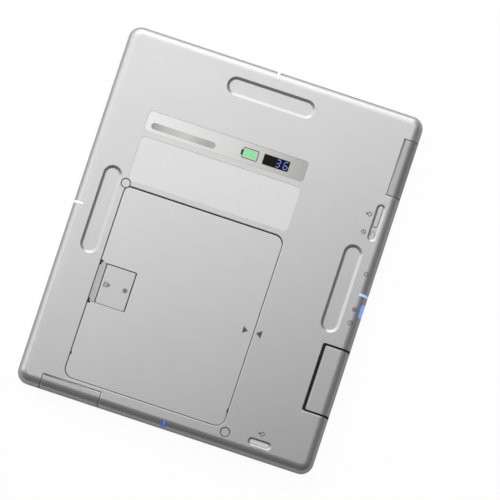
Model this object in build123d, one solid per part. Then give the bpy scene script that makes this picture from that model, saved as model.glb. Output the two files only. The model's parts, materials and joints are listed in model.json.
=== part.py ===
from build123d import *
import os

# Flat panel x-ray detector: a thin wireless panel with a battery pack in its back.
# The panel lies on its imaging face. X runs along the short side, Y along the long
# side, and Z from the imaging face at 0 up to the back face at the height depth.
# Lengths are in millimetres and angles in degrees.

# Casing: a shallow tub with a rounded back edge, open at the front
width = 268.0
height = 328.0
depth = 15.0
corner_radius = 11.0
back_edge_radius = 7.5
front_edge_chamfer = 2.4
wall = 1.8
casing_lift = 0.3
rim_width = 5.0
ledge_overlap = 2.5
ledge_thickness = 1.4

# Front plate and the sensor stack that lies on it
plate_thickness = 1.6
plate_gap = 0.15
tape_thickness = 0.2
pad_thickness = 0.3
glass_margin = 5.0
glass_thickness = 0.7
scintillator_margin = 3.0
scintillator_thickness = 0.6
base_thickness = 1.4
base_gap = 0.5

# Screws that hold the base plate to bosses in the casing
boss_radius = 2.4
boss_inset = 10.5
thread_radius = 0.8
screw_gap = 0.15
screw_head_radius = 1.6
screw_head_height = 0.7
base_screw_length = 5.0
corner_screw_inset = 22.0
lower_right_screw_inset = 29.0
top_corner_screw_inset = 16.0
left_middle_screws = (-52.0, 52.0)
right_middle_screws = (-36.0, 34.0)
top_middle_screw = 38.0
bottom_middle_screw = 30.0

# Circuit boards on standoffs above the base plate
board_thickness = 1.2
standoff_height = 1.6
standoff_radius = 2.2
standoff_inset = 4.0
narrow_board = 25.0
main_board_pack_gap = 6.7
main_board_right_inset = 39.0
power_board_pack_gap = 6.2
power_board_right_inset = 36.0
power_board_overlap_y = 1.7
gate_board_inset = 13.5
gate_board_width = 21.0
board_end_inset = 20.0
readout_board_inset = 13.5
readout_board_width = 20.5
readout_board_left_inset = 40.0
readout_board_right_inset = 16.0
board_gap = 3.0
chip_height = 1.5
small_chip = 8.0
memory_chip = 12.0
converter_chip = 13.0
chip_margin = 23.0
power_chip_pitch = 28.0
processor_can_size = 34.0
processor_can_inset = 55.0
can_height = 2.4
can_wall = 0.3
wireless_length = 30.0
wireless_width = 22.0
wireless_right_inset = 53.0
wireless_height = 3.2
wireless_rim = 1.5

# Flexible circuits from the sensor glass to the boards
flex_thickness = 0.2
flex_width = 24.0
flex_bond = 1.5
flex_slot_gap = 0.7
flex_overlap = 3.5
flex_rise = 1.8
flex_end_inset = 35.0
gate_flex_pitch = 32.0
readout_flex_inset = 23.0
readout_flex_pitch = 26.0
middle_flex_half_pitch = 20.0
link_width = 16.0
link_reach = 6.0

# Finger grips: sloped hollows at the middle of three sides
grip_depth = 3.8
grip_slope_width = 3.0
grip_wall = 1.6
grip_mouth_chamfer = 0.4
grip_length = 78.0
grip_width = 17.0
grip_inset = 24.5

# Battery pack and the opening for it
pack_width = 144.1
pack_height = 174.1
pack_left_inset = 38.7
pack_bottom_inset = 16.2
pack_corner_radius = 8.0
pack_gap = 0.5
cover_thickness = 2.6
tray_height = 4.8
tray_wall = 1.2
tray_floor = 0.8
bevel_width = 2.4
bevel_drop = 0.5
cell_zone_margin = 2.0
cell_gap = 1.0
cell_thickness = 3.7
latch_zone = 36.0
pack_board_thickness = 1.0
tab_length = 2.7
tab_width = 14.0
tab_thickness = 1.4
tab_inset = 37.0

# Battery bay: the well that the pack drops into
bay_wall = 1.4
bay_floor = 1.0
bay_floor_gap = 0.2
bay_foot_radius = 3.0
bay_foot_inset = 20.0
tab_slot_side_gap = 0.5
tab_slot_drop = 1.1
contact_count = 6
contact_pitch = 5.0
contact_width = 2.6
contact_length = 6.0
contact_inset_x = 12.0
contact_inset_y = 31.3
contact_gap = 0.1

# Latch of the battery pack: a plate that slides to the right
latch_offset_y = -0.55
latch_left_inset = 0.8
latch_mouth_length = 32.2
latch_mouth_width = 36.0
latch_mouth_radius = 1.5
latch_lip = 0.6
latch_lip_reach = 1.0
latch_pocket_depth = 2.0
latch_side_gap = 0.2
latch_plate_thickness = 1.2
latch_plate_lift = 0.05
latch_travel = 3.5
latch_grip_length = 4.3
latch_grip_height = 0.55
latch_rib_count = 5
bolt_width = 2.2
bolt_spread = 17.4
bolt_tip_gap = 0.3
notch_width = 4.6
notch_length = 1.9
spring_radius = 0.9
spring_wire = 0.3
spring_length = 8.0
spring_spread = 10.0
spring_drop = 1.6
spring_tab_length = 2.0
spring_tab_width = 2.4

# Mode switch near the upper right corner
switch_x_inset = 13.1
switch_centre_y = 64.0
switch_recess_width = 7.8
switch_recess_length = 32.5
switch_recess_depth = 1.6
switch_recess_floor = 1.2
switch_knob_width = 6.3
switch_knob_length = 20.0
switch_knob_height = 1.1
switch_knob_lift = 0.1
switch_knob_chamfer = 0.35
switch_travel = 11.5
switch_end_gap = 0.5
switch_stem_width = 2.4
switch_stem_length = 5.0
switch_stem_gap = 0.2
carrier_width = 5.0
carrier_length = 9.0
carrier_height = 1.0
carrier_gap = 0.1

# Connector bay with its hinged cover on the right edge
door_high_y = -51.0
door_length = 58.8
door_reach = 22.3
door_skin = 1.0
seal_width = 1.1
door_gap = 0.3
hinge_strip_width = 2.3
hinge_drop = 1.0
barrel_radius = 0.9
pin_radius = 0.4
pin_running_gap = 0.05
pin_hole_gap = 0.1
pin_grip = 2.0
connector_floor = 0.8
connector_floor_gap = 0.1
connector_wall = 1.5
receptacle_inset = 3.3
receptacle_length = 5.0
receptacle_width = 39.0
receptacle_height = 6.4
receptacle_wall = 1.0
receptacle_tongue = 1.4
receptacle_tongue_margin = 3.0
receptacle_pins = 8
receptacle_pin_height = 0.2

# Power button in the right side wall
button_y = 19.3
button_z = 6.1
button_length = 8.0
button_height = 4.0
button_gap = 0.2
button_sink = 0.2
button_travel = 0.8
flange_width = 0.8
flange_thickness = 1.0
flange_gap = 0.25
side_board_inset = 5.0
side_board_y = (-34.0, 28.0)
side_board_top = 12.0
power_switch_length = 6.0
power_switch_height = 3.6
power_switch_gap = 0.1

# Windows and lights that follow the casing's edge
window_gap = 0.12
side_window_low_y = 90.3
side_window_top_inset = 21.8
side_window_reach = 13.2
end_window_left_inset = 21.3
end_window_length = 53.0
end_window_reach = 12.7
window_low = 5.0
window_corner_radius = 2.0
centre_light_width = 2.6
centre_light_low = 6.5
top_light_reach = 7.5
side_light_reach = 9.0
status_light_y = (-19.4, -7.3)
status_light_reach = 3.7
status_light_low = 6.0
error_light_y = (-30.0, -21.0)
error_light_high = 9.0
antenna_board_thickness = 0.8
antenna_board_width = 14.0
end_antenna_width = 6.0
antenna_board_margin = 1.0
light_board_length = 10.0
light_board_height = 4.0

# Display strip and memo label
strip_left_out = 0.7
strip_right_out = 0.2
strip_height = 18.5
strip_memo_gap = 4.9
strip_radius = 3.0
strip_recess = 0.4
strip_sink = 0.1
strip_gap = 0.1
lens_right_inset = 15.5
lens_length = 23.5
lens_height = 9.5
lens_offset_y = 0.4
level_bars_right_inset = 56.2
level_bar_pitch = 3.9
level_bar_width = 2.9
level_bar_height = 6.6
level_bar_count = 3
display_board_thickness = 1.6
display_board_margin = 3.0
memo_right_out = 0.7
memo_pack_gap = 5.2
memo_height = 41.1
memo_radius = 4.0
memo_recess = 0.3
memo_film = 0.2

# Infrared window near the lower right corner
infrared_pack_gap = 35.0
infrared_inset_y = 13.0
infrared_recess_length = 21.0
infrared_recess_width = 6.8
infrared_recess_depth = 0.8
infrared_lens_length = 17.5
infrared_lens_width = 4.0
infrared_module_height = 3.0

# Round caps beside two corners of the battery pack
cap_radius = 4.3
cap_thickness = 1.0
cap_gap = 0.15
cap_groove_radius = 2.9
cap_groove_width = 0.6
cap_groove_depth = 0.4
upper_cap_out = (0.5, 1.5)
lower_cap_out = (3.3, 2.6)

# Flats round a rod: few where it is hidden inside, more where it shows
hidden_sides = 6
shown_sides = 24

# How far a cutting form reaches past the face it cuts, and past a round corner
overrun = 1.0
corner_overrun = 10.0

# Heights and edges that follow from the sizes above
right_edge = width / 2
top_edge = height / 2
ledge_bottom = plate_thickness + tape_thickness
ledge_top = ledge_bottom + ledge_thickness
glass_bottom = plate_thickness + pad_thickness
glass_top = glass_bottom + glass_thickness
base_bottom = glass_top + scintillator_thickness
base_top = base_bottom + base_thickness
board_bottom = base_top + standoff_height
board_top = board_bottom + board_thickness
ceiling = depth - wall
above = depth + overrun

base_inset = rim_width + ledge_overlap + base_gap
glass_width = width - 2 * (base_inset + glass_margin)
glass_height = height - 2 * (base_inset + glass_margin)

pack_left = -right_edge + pack_left_inset
pack_right = pack_left + pack_width
pack_bottom_y = -top_edge + pack_bottom_inset
pack_top_y = pack_bottom_y + pack_height
pack_centre_y = (pack_bottom_y + pack_top_y) / 2
cover_bottom = depth - cover_thickness
pack_bottom = cover_bottom - tray_height
tray_inside = pack_bottom + tray_floor
bay_floor_top = pack_bottom - bay_floor_gap
bay_floor_bottom = bay_floor_top - bay_floor
latch_zone_end = pack_left + latch_zone

latch_centre_y = pack_centre_y + latch_offset_y
mouth_left = pack_left + latch_left_inset
mouth_right = mouth_left + latch_mouth_length
latch_floor = depth - latch_pocket_depth
latch_low = latch_floor + latch_plate_lift
latch_high = latch_low + latch_plate_thickness
spring_z = latch_floor - spring_drop

switch_x = right_edge - switch_x_inset
switch_floor = depth - switch_recess_depth
switch_underside = switch_floor - switch_recess_floor
knob_centre_y = switch_centre_y + (switch_recess_length - switch_knob_length) / 2 - switch_end_gap

door_low_y = door_high_y - door_length
door_left = right_edge - door_reach
hinge_x = door_left - hinge_strip_width + barrel_radius
hinge_z = depth - hinge_drop
connector_x = hinge_x - barrel_radius - door_gap
connector_y = (door_low_y - seal_width - door_gap, door_high_y + seal_width + door_gap)
connector_floor_bottom = base_top + connector_floor_gap
connector_floor_top = connector_floor_bottom + connector_floor
receptacle_x = connector_x + receptacle_inset

memo_x = (pack_left - strip_left_out, pack_right + memo_right_out)
memo_y = (pack_top_y + memo_pack_gap, pack_top_y + memo_pack_gap + memo_height)
strip_x = (pack_left - strip_left_out, pack_right + strip_right_out)
strip_y = (memo_y[1] + strip_memo_gap, memo_y[1] + strip_memo_gap + strip_height)
lens_middle_y = (strip_y[0] + strip_y[1]) / 2 - lens_offset_y
lens_x = (strip_x[1] - lens_right_inset - lens_length, strip_x[1] - lens_right_inset)
lens_y = (lens_middle_y - lens_height / 2, lens_middle_y + lens_height / 2)
level_bars_x = strip_x[1] - level_bars_right_inset
infrared_x = pack_right + infrared_pack_gap
infrared_y = -top_edge + infrared_inset_y

gate_board_x = (-right_edge + gate_board_inset, -right_edge + gate_board_inset + gate_board_width)
readout_board_top = top_edge - readout_board_inset
readout_board_low = readout_board_top - readout_board_width
boards = {
    "main_board": (
        (gate_board_x[1] + board_gap, right_edge - main_board_right_inset),
        (pack_top_y + main_board_pack_gap, readout_board_low - board_gap),
    ),
    "power_board": (
        (pack_right + power_board_pack_gap, right_edge - power_board_right_inset),
        (-top_edge + board_end_inset, pack_top_y + power_board_overlap_y),
    ),
    "gate_board": (gate_board_x, (-top_edge + board_end_inset, top_edge - board_end_inset)),
    "readout_board": (
        (-right_edge + readout_board_left_inset, right_edge - readout_board_right_inset),
        (readout_board_low, readout_board_top),
    ),
}
outer_gate_flex = glass_height / 2 - flex_end_inset
gate_flexes_at = [
    side * place
    for side in (-1, 1)
    for place in (middle_flex_half_pitch, outer_gate_flex - gate_flex_pitch, outer_gate_flex)
]
outer_readout_flex = glass_width / 2 - readout_flex_inset
readout_flexes_at = [
    readout_flex_pitch - outer_readout_flex,
    -middle_flex_half_pitch,
    middle_flex_half_pitch,
    outer_readout_flex - readout_flex_pitch,
    outer_readout_flex,
]


def block(x, y, z, radius=0.0):
    """A block between the pairs x, y and z, with round corners in plan."""
    size_x = x[1] - x[0]
    size_y = y[1] - y[0]
    outline = RectangleRounded(size_x, size_y, radius) if radius else Rectangle(size_x, size_y)
    return Pos((x[0] + x[1]) / 2, (y[0] + y[1]) / 2, z[0]) * extrude(outline, z[1] - z[0])


def centred_block(size_x, size_y, z, radius=0.0):
    """A block between the pair z, centred on the panel in plan."""
    return block((-size_x / 2, size_x / 2), (-size_y / 2, size_y / 2), z, radius)


def rod(x, y, z, radius, sides=hidden_sides):
    """An upright rod between the pair z, with flats in place of a round side."""
    return Pos(x, y, z[0]) * extrude(RegularPolygon(radius, sides), z[1] - z[0])


def stadium(x, y, z, size_x, size_y):
    """An upright block with half-round ends between the pair z."""
    turn = 0 if size_x > size_y else 90
    outline = SlotOverall(max(size_x, size_y), min(size_x, size_y), rotation=turn)
    return Pos(x, y, z[0]) * extrude(outline, z[1] - z[0])


def grown(pair, amount):
    """The pair with both ends moved outwards by amount."""
    return (pair[0] - amount, pair[1] + amount)


def middle(pair):
    """The middle of a pair."""
    return (pair[0] + pair[1]) / 2


def casing_form(inset, low):
    """The casing's outer shape moved in by inset, from the height low upwards."""
    plan = RectangleRounded(width - 2 * inset, height - 2 * inset, corner_radius - inset)
    form = Pos(0, 0, low) * extrude(plan, depth - inset - low)
    back_edges = form.faces().sort_by(Axis.Z)[-1].edges()
    return fillet(back_edges, back_edge_radius - inset)


def casing_skin(thickness):
    """A skin that follows the casing's outside, of the given thickness."""
    return casing_form(0, ledge_top) - casing_form(thickness, 0)


# Places on the casing's edge, as pairs in plan
side_window_x = (right_edge - side_window_reach, right_edge + corner_overrun)
side_window_y = (side_window_low_y, top_edge - side_window_top_inset)
end_window_left = -right_edge + end_window_left_inset
end_window_x = (end_window_left, end_window_left + end_window_length)
end_window_y = (-top_edge - corner_overrun, -top_edge + end_window_reach)
light_half = centre_light_width / 2
centre_lights = {
    "centre_light_top": ((-light_half, light_half), (top_edge - top_light_reach, top_edge + overrun)),
    "centre_light_bottom": ((-light_half, light_half), (-top_edge - overrun, top_light_reach - top_edge)),
    "centre_light_left": ((-right_edge - overrun, -right_edge + side_light_reach), (-light_half, light_half)),
    "centre_light_right": ((right_edge - side_light_reach, right_edge + overrun), (-light_half, light_half)),
}
status_light_x = (right_edge - status_light_reach, right_edge + overrun)
error_light_x = (right_edge - wall - window_gap, right_edge + overrun)

# Centres of the grips, and whether each runs along Y
grips = (
    (0.0, top_edge - grip_inset, False),
    (-right_edge + grip_inset, 0.0, True),
    (right_edge - grip_inset, 0.0, True),
)

# Centres of the two caps, out from the corners of the battery opening
upper_cap = (pack_left - pack_gap - upper_cap_out[0], pack_top_y + pack_gap + upper_cap_out[1])
lower_cap = (pack_right + pack_gap + lower_cap_out[0], pack_bottom_y - pack_gap - lower_cap_out[1])

left_screws = (-top_edge + corner_screw_inset, *left_middle_screws, top_edge - corner_screw_inset)
right_screws = (-top_edge + lower_right_screw_inset, *right_middle_screws)
top_corner_screw = right_edge - top_corner_screw_inset
top_screws = (-top_middle_screw, top_middle_screw, top_corner_screw)
bottom_screws = (-bottom_middle_screw, bottom_middle_screw)
base_screw_places = (
    [(-right_edge + boss_inset, y) for y in left_screws]
    + [(right_edge - boss_inset, y) for y in right_screws]
    + [(x, top_edge - boss_inset) for x in top_screws]
    + [(x, -top_edge + boss_inset) for x in bottom_screws]
)
bay_foot_places = [
    (x, y)
    for x in (pack_left + bay_foot_inset, pack_right - bay_foot_inset)
    for y in (pack_bottom_y + bay_foot_inset, pack_centre_y, pack_top_y - bay_foot_inset)
]


def grip_form(grip, offset, floor):
    """The hollow of a grip grown outwards by offset, down to the height floor."""
    x, y, upright = grip
    turn = 90 if upright else 0
    mouth = SlotOverall(grip_length + 2 * offset, grip_width + 2 * offset, rotation=turn)
    shrink = 2 * grip_slope_width
    base = SlotOverall(
        grip_length + 2 * offset - shrink, grip_width + 2 * offset - shrink, rotation=turn
    )
    return loft([Pos(x, y, floor) * base, Pos(x, y, depth) * mouth], ruled=True)


def switch_slot_y():
    """The stretch of the mode switch's slot that lets its stem travel."""
    reach = switch_stem_length / 2 + switch_stem_gap
    return (knob_centre_y - switch_travel - reach, knob_centre_y + reach)


def rear_casing():
    casing = casing_form(0, casing_lift)
    front_edges = casing.faces().sort_by(Axis.Z)[0].edges()
    casing = chamfer(front_edges, front_edge_chamfer)

    # The hollow, the ledge's opening and the rebate for the front plate
    casing -= casing_form(wall, ledge_top)
    opening_inset = rim_width + ledge_overlap
    casing -= centred_block(
        width - 2 * opening_inset,
        height - 2 * opening_inset,
        (0, ledge_top + wall),
    )
    casing -= centred_block(
        width - 2 * rim_width, height - 2 * rim_width, (0, ledge_bottom), corner_radius - rim_width
    )

    # Grips: a cup under each hollow, then the hollow, with a small bevel round its mouth
    for grip in grips:
        x, y, upright = grip
        cup = grip_form(grip, grip_wall, depth - grip_depth - grip_wall)
        casing += cup & casing_form(0, ledge_top)
    for grip in grips:
        casing -= grip_form(grip, 0, depth - grip_depth)
    casing = chamfer(grip_mouth_edges(casing), grip_mouth_chamfer)

    # Bosses for the base plate's screws, and a thicker floor for the mode switch
    for x, y in base_screw_places:
        casing += rod(x, y, (base_top, ceiling + wall / 2), boss_radius)
        casing -= rod(x, y, (base_top, base_top + base_screw_length), thread_radius)
    switch_margin = 2 * switch_recess_floor
    casing += stadium(
        switch_x,
        switch_centre_y,
        (switch_underside, ceiling + wall / 2),
        switch_recess_width + switch_margin,
        switch_recess_length + switch_margin,
    )
    casing -= stadium(
        switch_x, switch_centre_y, (switch_floor, above), switch_recess_width, switch_recess_length
    )
    slot_half = switch_stem_width / 2 + switch_stem_gap
    slot_z = (switch_underside - overrun, depth)
    casing -= block((switch_x - slot_half, switch_x + slot_half), switch_slot_y(), slot_z)

    # Opening for the battery pack
    casing -= block(
        grown((pack_left, pack_right), pack_gap),
        grown((pack_bottom_y, pack_top_y), pack_gap),
        (ceiling - overrun, above),
        pack_corner_radius + pack_gap,
    )

    # Opening for the connector cover, with the holes of its hinge pin
    casing -= block((connector_x, right_edge + overrun), connector_y, (connector_floor_top, above))
    pin_hole = Circle(pin_radius + pin_hole_gap)
    pin_length = connector_y[1] - connector_y[0] + 2 * pin_grip
    pin_start = Plane(origin=(hinge_x, connector_y[0] - pin_grip, hinge_z), z_dir=(0, 1, 0))
    casing -= extrude(pin_start * pin_hole, pin_length)

    # Openings for the windows and lights on the edge
    casing -= block(side_window_x, side_window_y, (window_low, above), window_corner_radius)
    casing -= block(end_window_x, end_window_y, (window_low, above), window_corner_radius)
    for x, y in centre_lights.values():
        casing -= block(x, y, (centre_light_low, above))
    casing -= block(status_light_x, status_light_y, (status_light_low, above))
    casing -= block(error_light_x, error_light_y, (status_light_low, error_light_high))

    # Hole for the power button
    casing -= button_form(button_gap, right_edge - 2 * wall, right_edge + overrun)

    # Display strip with the holes of its lens and level bars, and the memo label's recess
    casing -= block(strip_x, strip_y, (depth - strip_recess, above), strip_radius)
    casing -= block(lens_x, lens_y, (ceiling - overrun, above))
    for bar in level_bars(0, (ceiling - overrun, above)):
        casing -= bar
    casing -= block(memo_x, memo_y, (depth - memo_recess, above), memo_radius)

    # Infrared recess with its lens hole, and the seats of the caps
    casing -= stadium(
        infrared_x,
        infrared_y,
        (depth - infrared_recess_depth, above),
        infrared_recess_length,
        infrared_recess_width,
    )
    lens_z = (ceiling - overrun, above)
    casing -= stadium(infrared_x, infrared_y, lens_z, infrared_lens_length, infrared_lens_width)
    for x, y in (upper_cap, lower_cap):
        casing -= rod(x, y, (depth - cap_thickness, above), cap_radius, shown_sides)
    return casing


def grip_mouth_edges(casing):
    """The edges where the grips' hollows meet the flat back."""
    flat_half_x = right_edge - back_edge_radius - overrun
    flat_half_y = top_edge - back_edge_radius - overrun
    back_edges = casing.edges().group_by(Axis.Z)[-1]
    inner_edges = [
        edge
        for edge in back_edges
        if abs(edge.center().X) < flat_half_x and abs(edge.center().Y) < flat_half_y
    ]
    return ShapeList(inner_edges)


def button_form(gap, low, high):
    """The power button's pill section grown by gap, from low to high along X."""
    face = Plane(origin=(low, button_y, button_z), x_dir=(0, 1, 0), z_dir=(1, 0, 0))
    outline = SlotOverall(button_length + 2 * gap, button_height + 2 * gap)
    return extrude(face * outline, high - low)


def level_bars(gap, z):
    """The bars of the battery level, each grown by gap, between the pair z."""
    half_height = level_bar_height / 2
    bars = []
    for index in range(level_bar_count):
        left = level_bars_x + index * level_bar_pitch
        x = grown((left, left + level_bar_width), gap)
        y = grown((lens_middle_y - half_height, lens_middle_y + half_height), gap)
        bars.append(block(x, y, z))
    return bars


def group(solids):
    """Several separate solids as one part."""
    return Compound(children=list(solids))


def front_plate():
    inset = rim_width + plate_gap
    return centred_block(
        width - 2 * inset, height - 2 * inset, (0, plate_thickness), corner_radius - inset
    )


def front_tape():
    """The adhesive frame between the front plate and the casing's ledge."""
    outer = rim_width + plate_gap
    inner = rim_width + ledge_overlap
    z = (plate_thickness, ledge_bottom)
    frame = centred_block(width - 2 * outer, height - 2 * outer, z, corner_radius - outer)
    return frame - centred_block(width - 2 * inner, height - 2 * inner, z)


def sensor_pad():
    return centred_block(glass_width, glass_height, (plate_thickness, glass_bottom))


def sensor_glass():
    return centred_block(glass_width, glass_height, (glass_bottom, glass_top))


def scintillator():
    margin = 2 * scintillator_margin
    return centred_block(glass_width - margin, glass_height - margin, (glass_top, base_bottom))


def base_plate():
    plate = centred_block(width - 2 * base_inset, height - 2 * base_inset, (base_bottom, base_top))
    for x, y in base_screw_places:
        plate -= rod(x, y, (base_bottom, base_top), thread_radius + screw_gap)
        plate -= rod(x, y, (base_bottom, base_bottom + screw_head_height), screw_head_radius + screw_gap)
    half = flex_width / 2 + flex_slot_gap
    slot_out = flex_rise + flex_thickness + flex_slot_gap
    slot_in = flex_rise - flex_slot_gap
    for y in gate_flexes_at:
        x = (-glass_width / 2 - slot_out, -glass_width / 2 - slot_in)
        plate -= block(x, (y - half, y + half), (base_bottom, base_top))
    for x in readout_flexes_at:
        y = (glass_height / 2 + slot_in, glass_height / 2 + slot_out)
        plate -= block((x - half, x + half), y, (base_bottom, base_top))
    return plate


def base_screws():
    screws = []
    for x, y in base_screw_places:
        screw = rod(x, y, (base_bottom, base_bottom + screw_head_height), screw_head_radius)
        screw += rod(x, y, (base_bottom, base_bottom + base_screw_length), thread_radius)
        screws.append(screw)
    return group(screws)


def flex_strip(length_out, length_in):
    """One flexible circuit in the plane of X and Z: bonded flat on the glass, up
    through the base plate, and back over the board. The glass's edge is at X = 0."""
    rise = flex_rise
    bottom = glass_top
    top = board_top
    thick = flex_thickness
    low_strip = Pos((rise - length_out) / 2, 0, bottom) * extrude(
        Rectangle(rise + length_out, flex_width), thick
    )
    upright = Pos(rise + thick / 2, 0, bottom) * extrude(
        Rectangle(thick, flex_width), top + thick - bottom
    )
    high_strip = Pos((rise - length_in) / 2, 0, top) * extrude(
        Rectangle(rise + length_in, flex_width), thick
    )
    return low_strip + upright + high_strip


def gate_flexes():
    board_reach = -glass_width / 2 - gate_board_x[0]
    strip = flex_strip(flex_bond, flex_overlap - board_reach)
    return group(Pos(-glass_width / 2, y, 0) * Rot(0, 0, 180) * strip for y in gate_flexes_at)


def readout_flexes():
    board_reach = readout_board_top - glass_height / 2
    strip = flex_strip(flex_bond, flex_overlap - board_reach)
    return group(Pos(x, glass_height / 2, 0) * Rot(0, 0, 90) * strip for x in readout_flexes_at)


def standoff_places(x, y):
    """Where a board rests: near its four corners, or at both ends of a narrow board."""
    across = grown(x, -standoff_inset)
    along = grown(y, -standoff_inset)
    if x[1] - x[0] < narrow_board:
        across = (middle(x),)
    if y[1] - y[0] < narrow_board:
        along = (middle(y),)
    return [(a, b) for a in across for b in along]


def circuit_board(x, y):
    return block(x, y, (board_bottom, board_top))


def board_standoffs():
    posts = []
    for x, y in boards.values():
        for a, b in standoff_places(x, y):
            posts.append(rod(a, b, (base_top, board_bottom), standoff_radius))
    return group(posts)


def board_chips():
    """The larger chips: memory, converters and power parts, and the processor's can."""
    z = (board_top, board_top + chip_height)
    main_x, main_y = boards["main_board"]
    power_x, power_y = boards["power_board"]
    main_middle = middle(main_y)
    power_first = power_y[0] + chip_margin
    places = [(main_x[0] + chip_margin, main_middle + small_chip, memory_chip)]
    places += [(main_x[1] - chip_margin, main_middle + side * memory_chip, memory_chip) for side in (-1, 1)]
    places += [(middle(power_x), power_first + n * power_chip_pitch, converter_chip) for n in range(4)]
    places += [(middle(gate_board_x), y, small_chip) for y in gate_flexes_at]
    places += [(x, readout_board_low + small_chip, small_chip) for x in readout_flexes_at]
    chips = [Pos(x, y, 0) * centred_block(size, size, z) for x, y, size in places]
    return group(chips + [processor_can()])


def processor_can():
    """The pressed metal can over the processor."""
    main_x, main_y = boards["main_board"]
    left = main_x[0] + processor_can_inset
    half = processor_can_size / 2
    x = (left, left + processor_can_size)
    y = (middle(main_y) - chip_margin / 4 - half, middle(main_y) - chip_margin / 4 + half)
    can = block(x, y, (board_top, board_top + can_height))
    inside_z = (board_top, board_top + can_height - can_wall)
    return can - block(grown(x, -can_wall), grown(y, -can_wall), inside_z)


def wireless_module():
    main_x, main_y = boards["main_board"]
    right = main_x[1] - wireless_right_inset
    low = middle(main_y) + chip_margin / 2
    x = (right - wireless_length, right)
    y = (low, low + wireless_width)
    module = block(x, y, (board_top, board_top + board_thickness))
    can = (board_top + board_thickness, board_top + wireless_height)
    return module + block(grown(x, -wireless_rim), grown(y, -wireless_rim), can)


def board_links():
    """Flat links that join the main board to the other boards."""
    main_x, main_y = boards["main_board"]
    power_x, power_y = boards["power_board"]
    z = (board_top, board_top + flex_thickness)
    half = link_width / 2
    to_readout = block((-half, half), (main_y[1] - link_reach, readout_board_low + link_reach), z)
    gate_y = middle(main_y)
    to_gate = block(
        (gate_board_x[1] - link_reach, main_x[0] + link_reach), (gate_y - half, gate_y + half), z
    )
    power_middle = middle(power_x)
    to_power = block(
        (power_middle - half, power_middle + half), (power_y[1] - link_reach, main_y[0] + link_reach), z
    )
    return group((to_readout, to_gate, to_power))


def battery_bay():
    """The well for the pack: it stands on the base plate and meets the back wall."""
    inner_x = grown((pack_left, pack_right), pack_gap)
    inner_y = grown((pack_bottom_y, pack_top_y), pack_gap)
    inner_radius = pack_corner_radius + pack_gap
    bay = block(
        grown(inner_x, bay_wall),
        grown(inner_y, bay_wall),
        (bay_floor_bottom, ceiling),
        inner_radius + bay_wall,
    )
    bay -= block(inner_x, inner_y, (bay_floor_top, above), inner_radius)
    for x, y in bay_foot_places:
        bay += rod(x, y, (base_top, bay_floor_bottom), bay_foot_radius)
    slot_half = tab_width / 2 + tab_slot_side_gap
    slot_low = cover_bottom - tab_thickness - tab_slot_drop
    for side in (-1, 1):
        tab_y = pack_centre_y + side * (pack_height / 2 - tab_inset)
        bay -= block(
            (inner_x[1] - overrun, inner_x[1] + bay_wall + overrun),
            (tab_y - slot_half, tab_y + slot_half),
            (slot_low, ceiling),
        )
    bay -= block(
        grown(contact_x(), contact_gap), grown(contact_y(), contact_gap), (bay_floor_bottom, bay_floor_top)
    )
    return bay


def contact_x():
    left = pack_left + contact_inset_x
    return (left, left + contact_length)


def contact_y():
    half = contact_count * contact_pitch / 2
    return (pack_top_y - contact_inset_y - half, pack_top_y - contact_inset_y + half)


def contact_strips(z):
    """A row of contact strips between the pair z."""
    strips = []
    for index in range(contact_count):
        at = contact_y()[0] + (index + 0.5) * contact_pitch
        strips.append(block(contact_x(), (at - contact_width / 2, at + contact_width / 2), z))
    return strips


def bay_contacts():
    """The contact block in the bay's floor, with its strips on top."""
    contacts = block(contact_x(), contact_y(), (bay_floor_bottom, bay_floor_top))
    for strip in contact_strips((bay_floor_top, bay_floor_top + bay_floor_gap / 2)):
        contacts += strip
    return contacts


def battery_cover():
    """The pack's outer face, with its bevelled left edge and the latch's pocket."""
    y = (pack_bottom_y, pack_top_y)
    cover = block((pack_left, pack_right), y, (cover_bottom, depth), pack_corner_radius)
    bevel = Polygon(
        (pack_left - overrun, above),
        (pack_left - overrun, depth - bevel_drop),
        (pack_left, depth - bevel_drop),
        (pack_left + bevel_width, depth),
        (pack_left + bevel_width, above),
        align=None,
    )
    side = Plane(origin=(0, pack_top_y + overrun, 0), x_dir=(1, 0, 0), z_dir=(0, -1, 0))
    cover -= extrude(side * bevel, pack_height + 2 * overrun)

    half = latch_mouth_width / 2
    cover -= block(
        (mouth_left, mouth_right),
        (latch_centre_y - half, latch_centre_y + half),
        (latch_floor, above),
        latch_mouth_radius,
    )
    pocket_half = half + latch_lip_reach + latch_side_gap
    cover -= block(
        (mouth_left, mouth_right + latch_lip_reach + latch_travel + latch_side_gap),
        (latch_centre_y - pocket_half, latch_centre_y + pocket_half),
        (latch_floor, depth - latch_lip),
    )
    for side in (-1, 1):
        bolt_y = latch_centre_y + side * bolt_spread
        cover -= block(
            (pack_left - overrun, pack_left + notch_length),
            (bolt_y - notch_width / 2, bolt_y + notch_width / 2),
            (cover_bottom, above),
        )
        tab_y = latch_centre_y + side * spring_spread
        reach = spring_tab_width / 2 + latch_side_gap
        cover -= block(
            (spring_tab_x()[0] - latch_side_gap, spring_tab_x()[1] + latch_travel + latch_side_gap),
            (tab_y - reach, tab_y + reach),
            (cover_bottom, depth - latch_lip),
        )
        spring_end = spring_tab_x()[1] + spring_length
        cover += block(
            (spring_end, spring_end + tray_wall),
            (tab_y - reach, tab_y + reach),
            (spring_z - spring_radius, cover_bottom),
        )
    return cover


def spring_tab_x():
    """Where the latch's spring tabs stand when the latch is closed."""
    left = mouth_left + latch_mouth_length / 2
    return (left, left + spring_tab_length)


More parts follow.
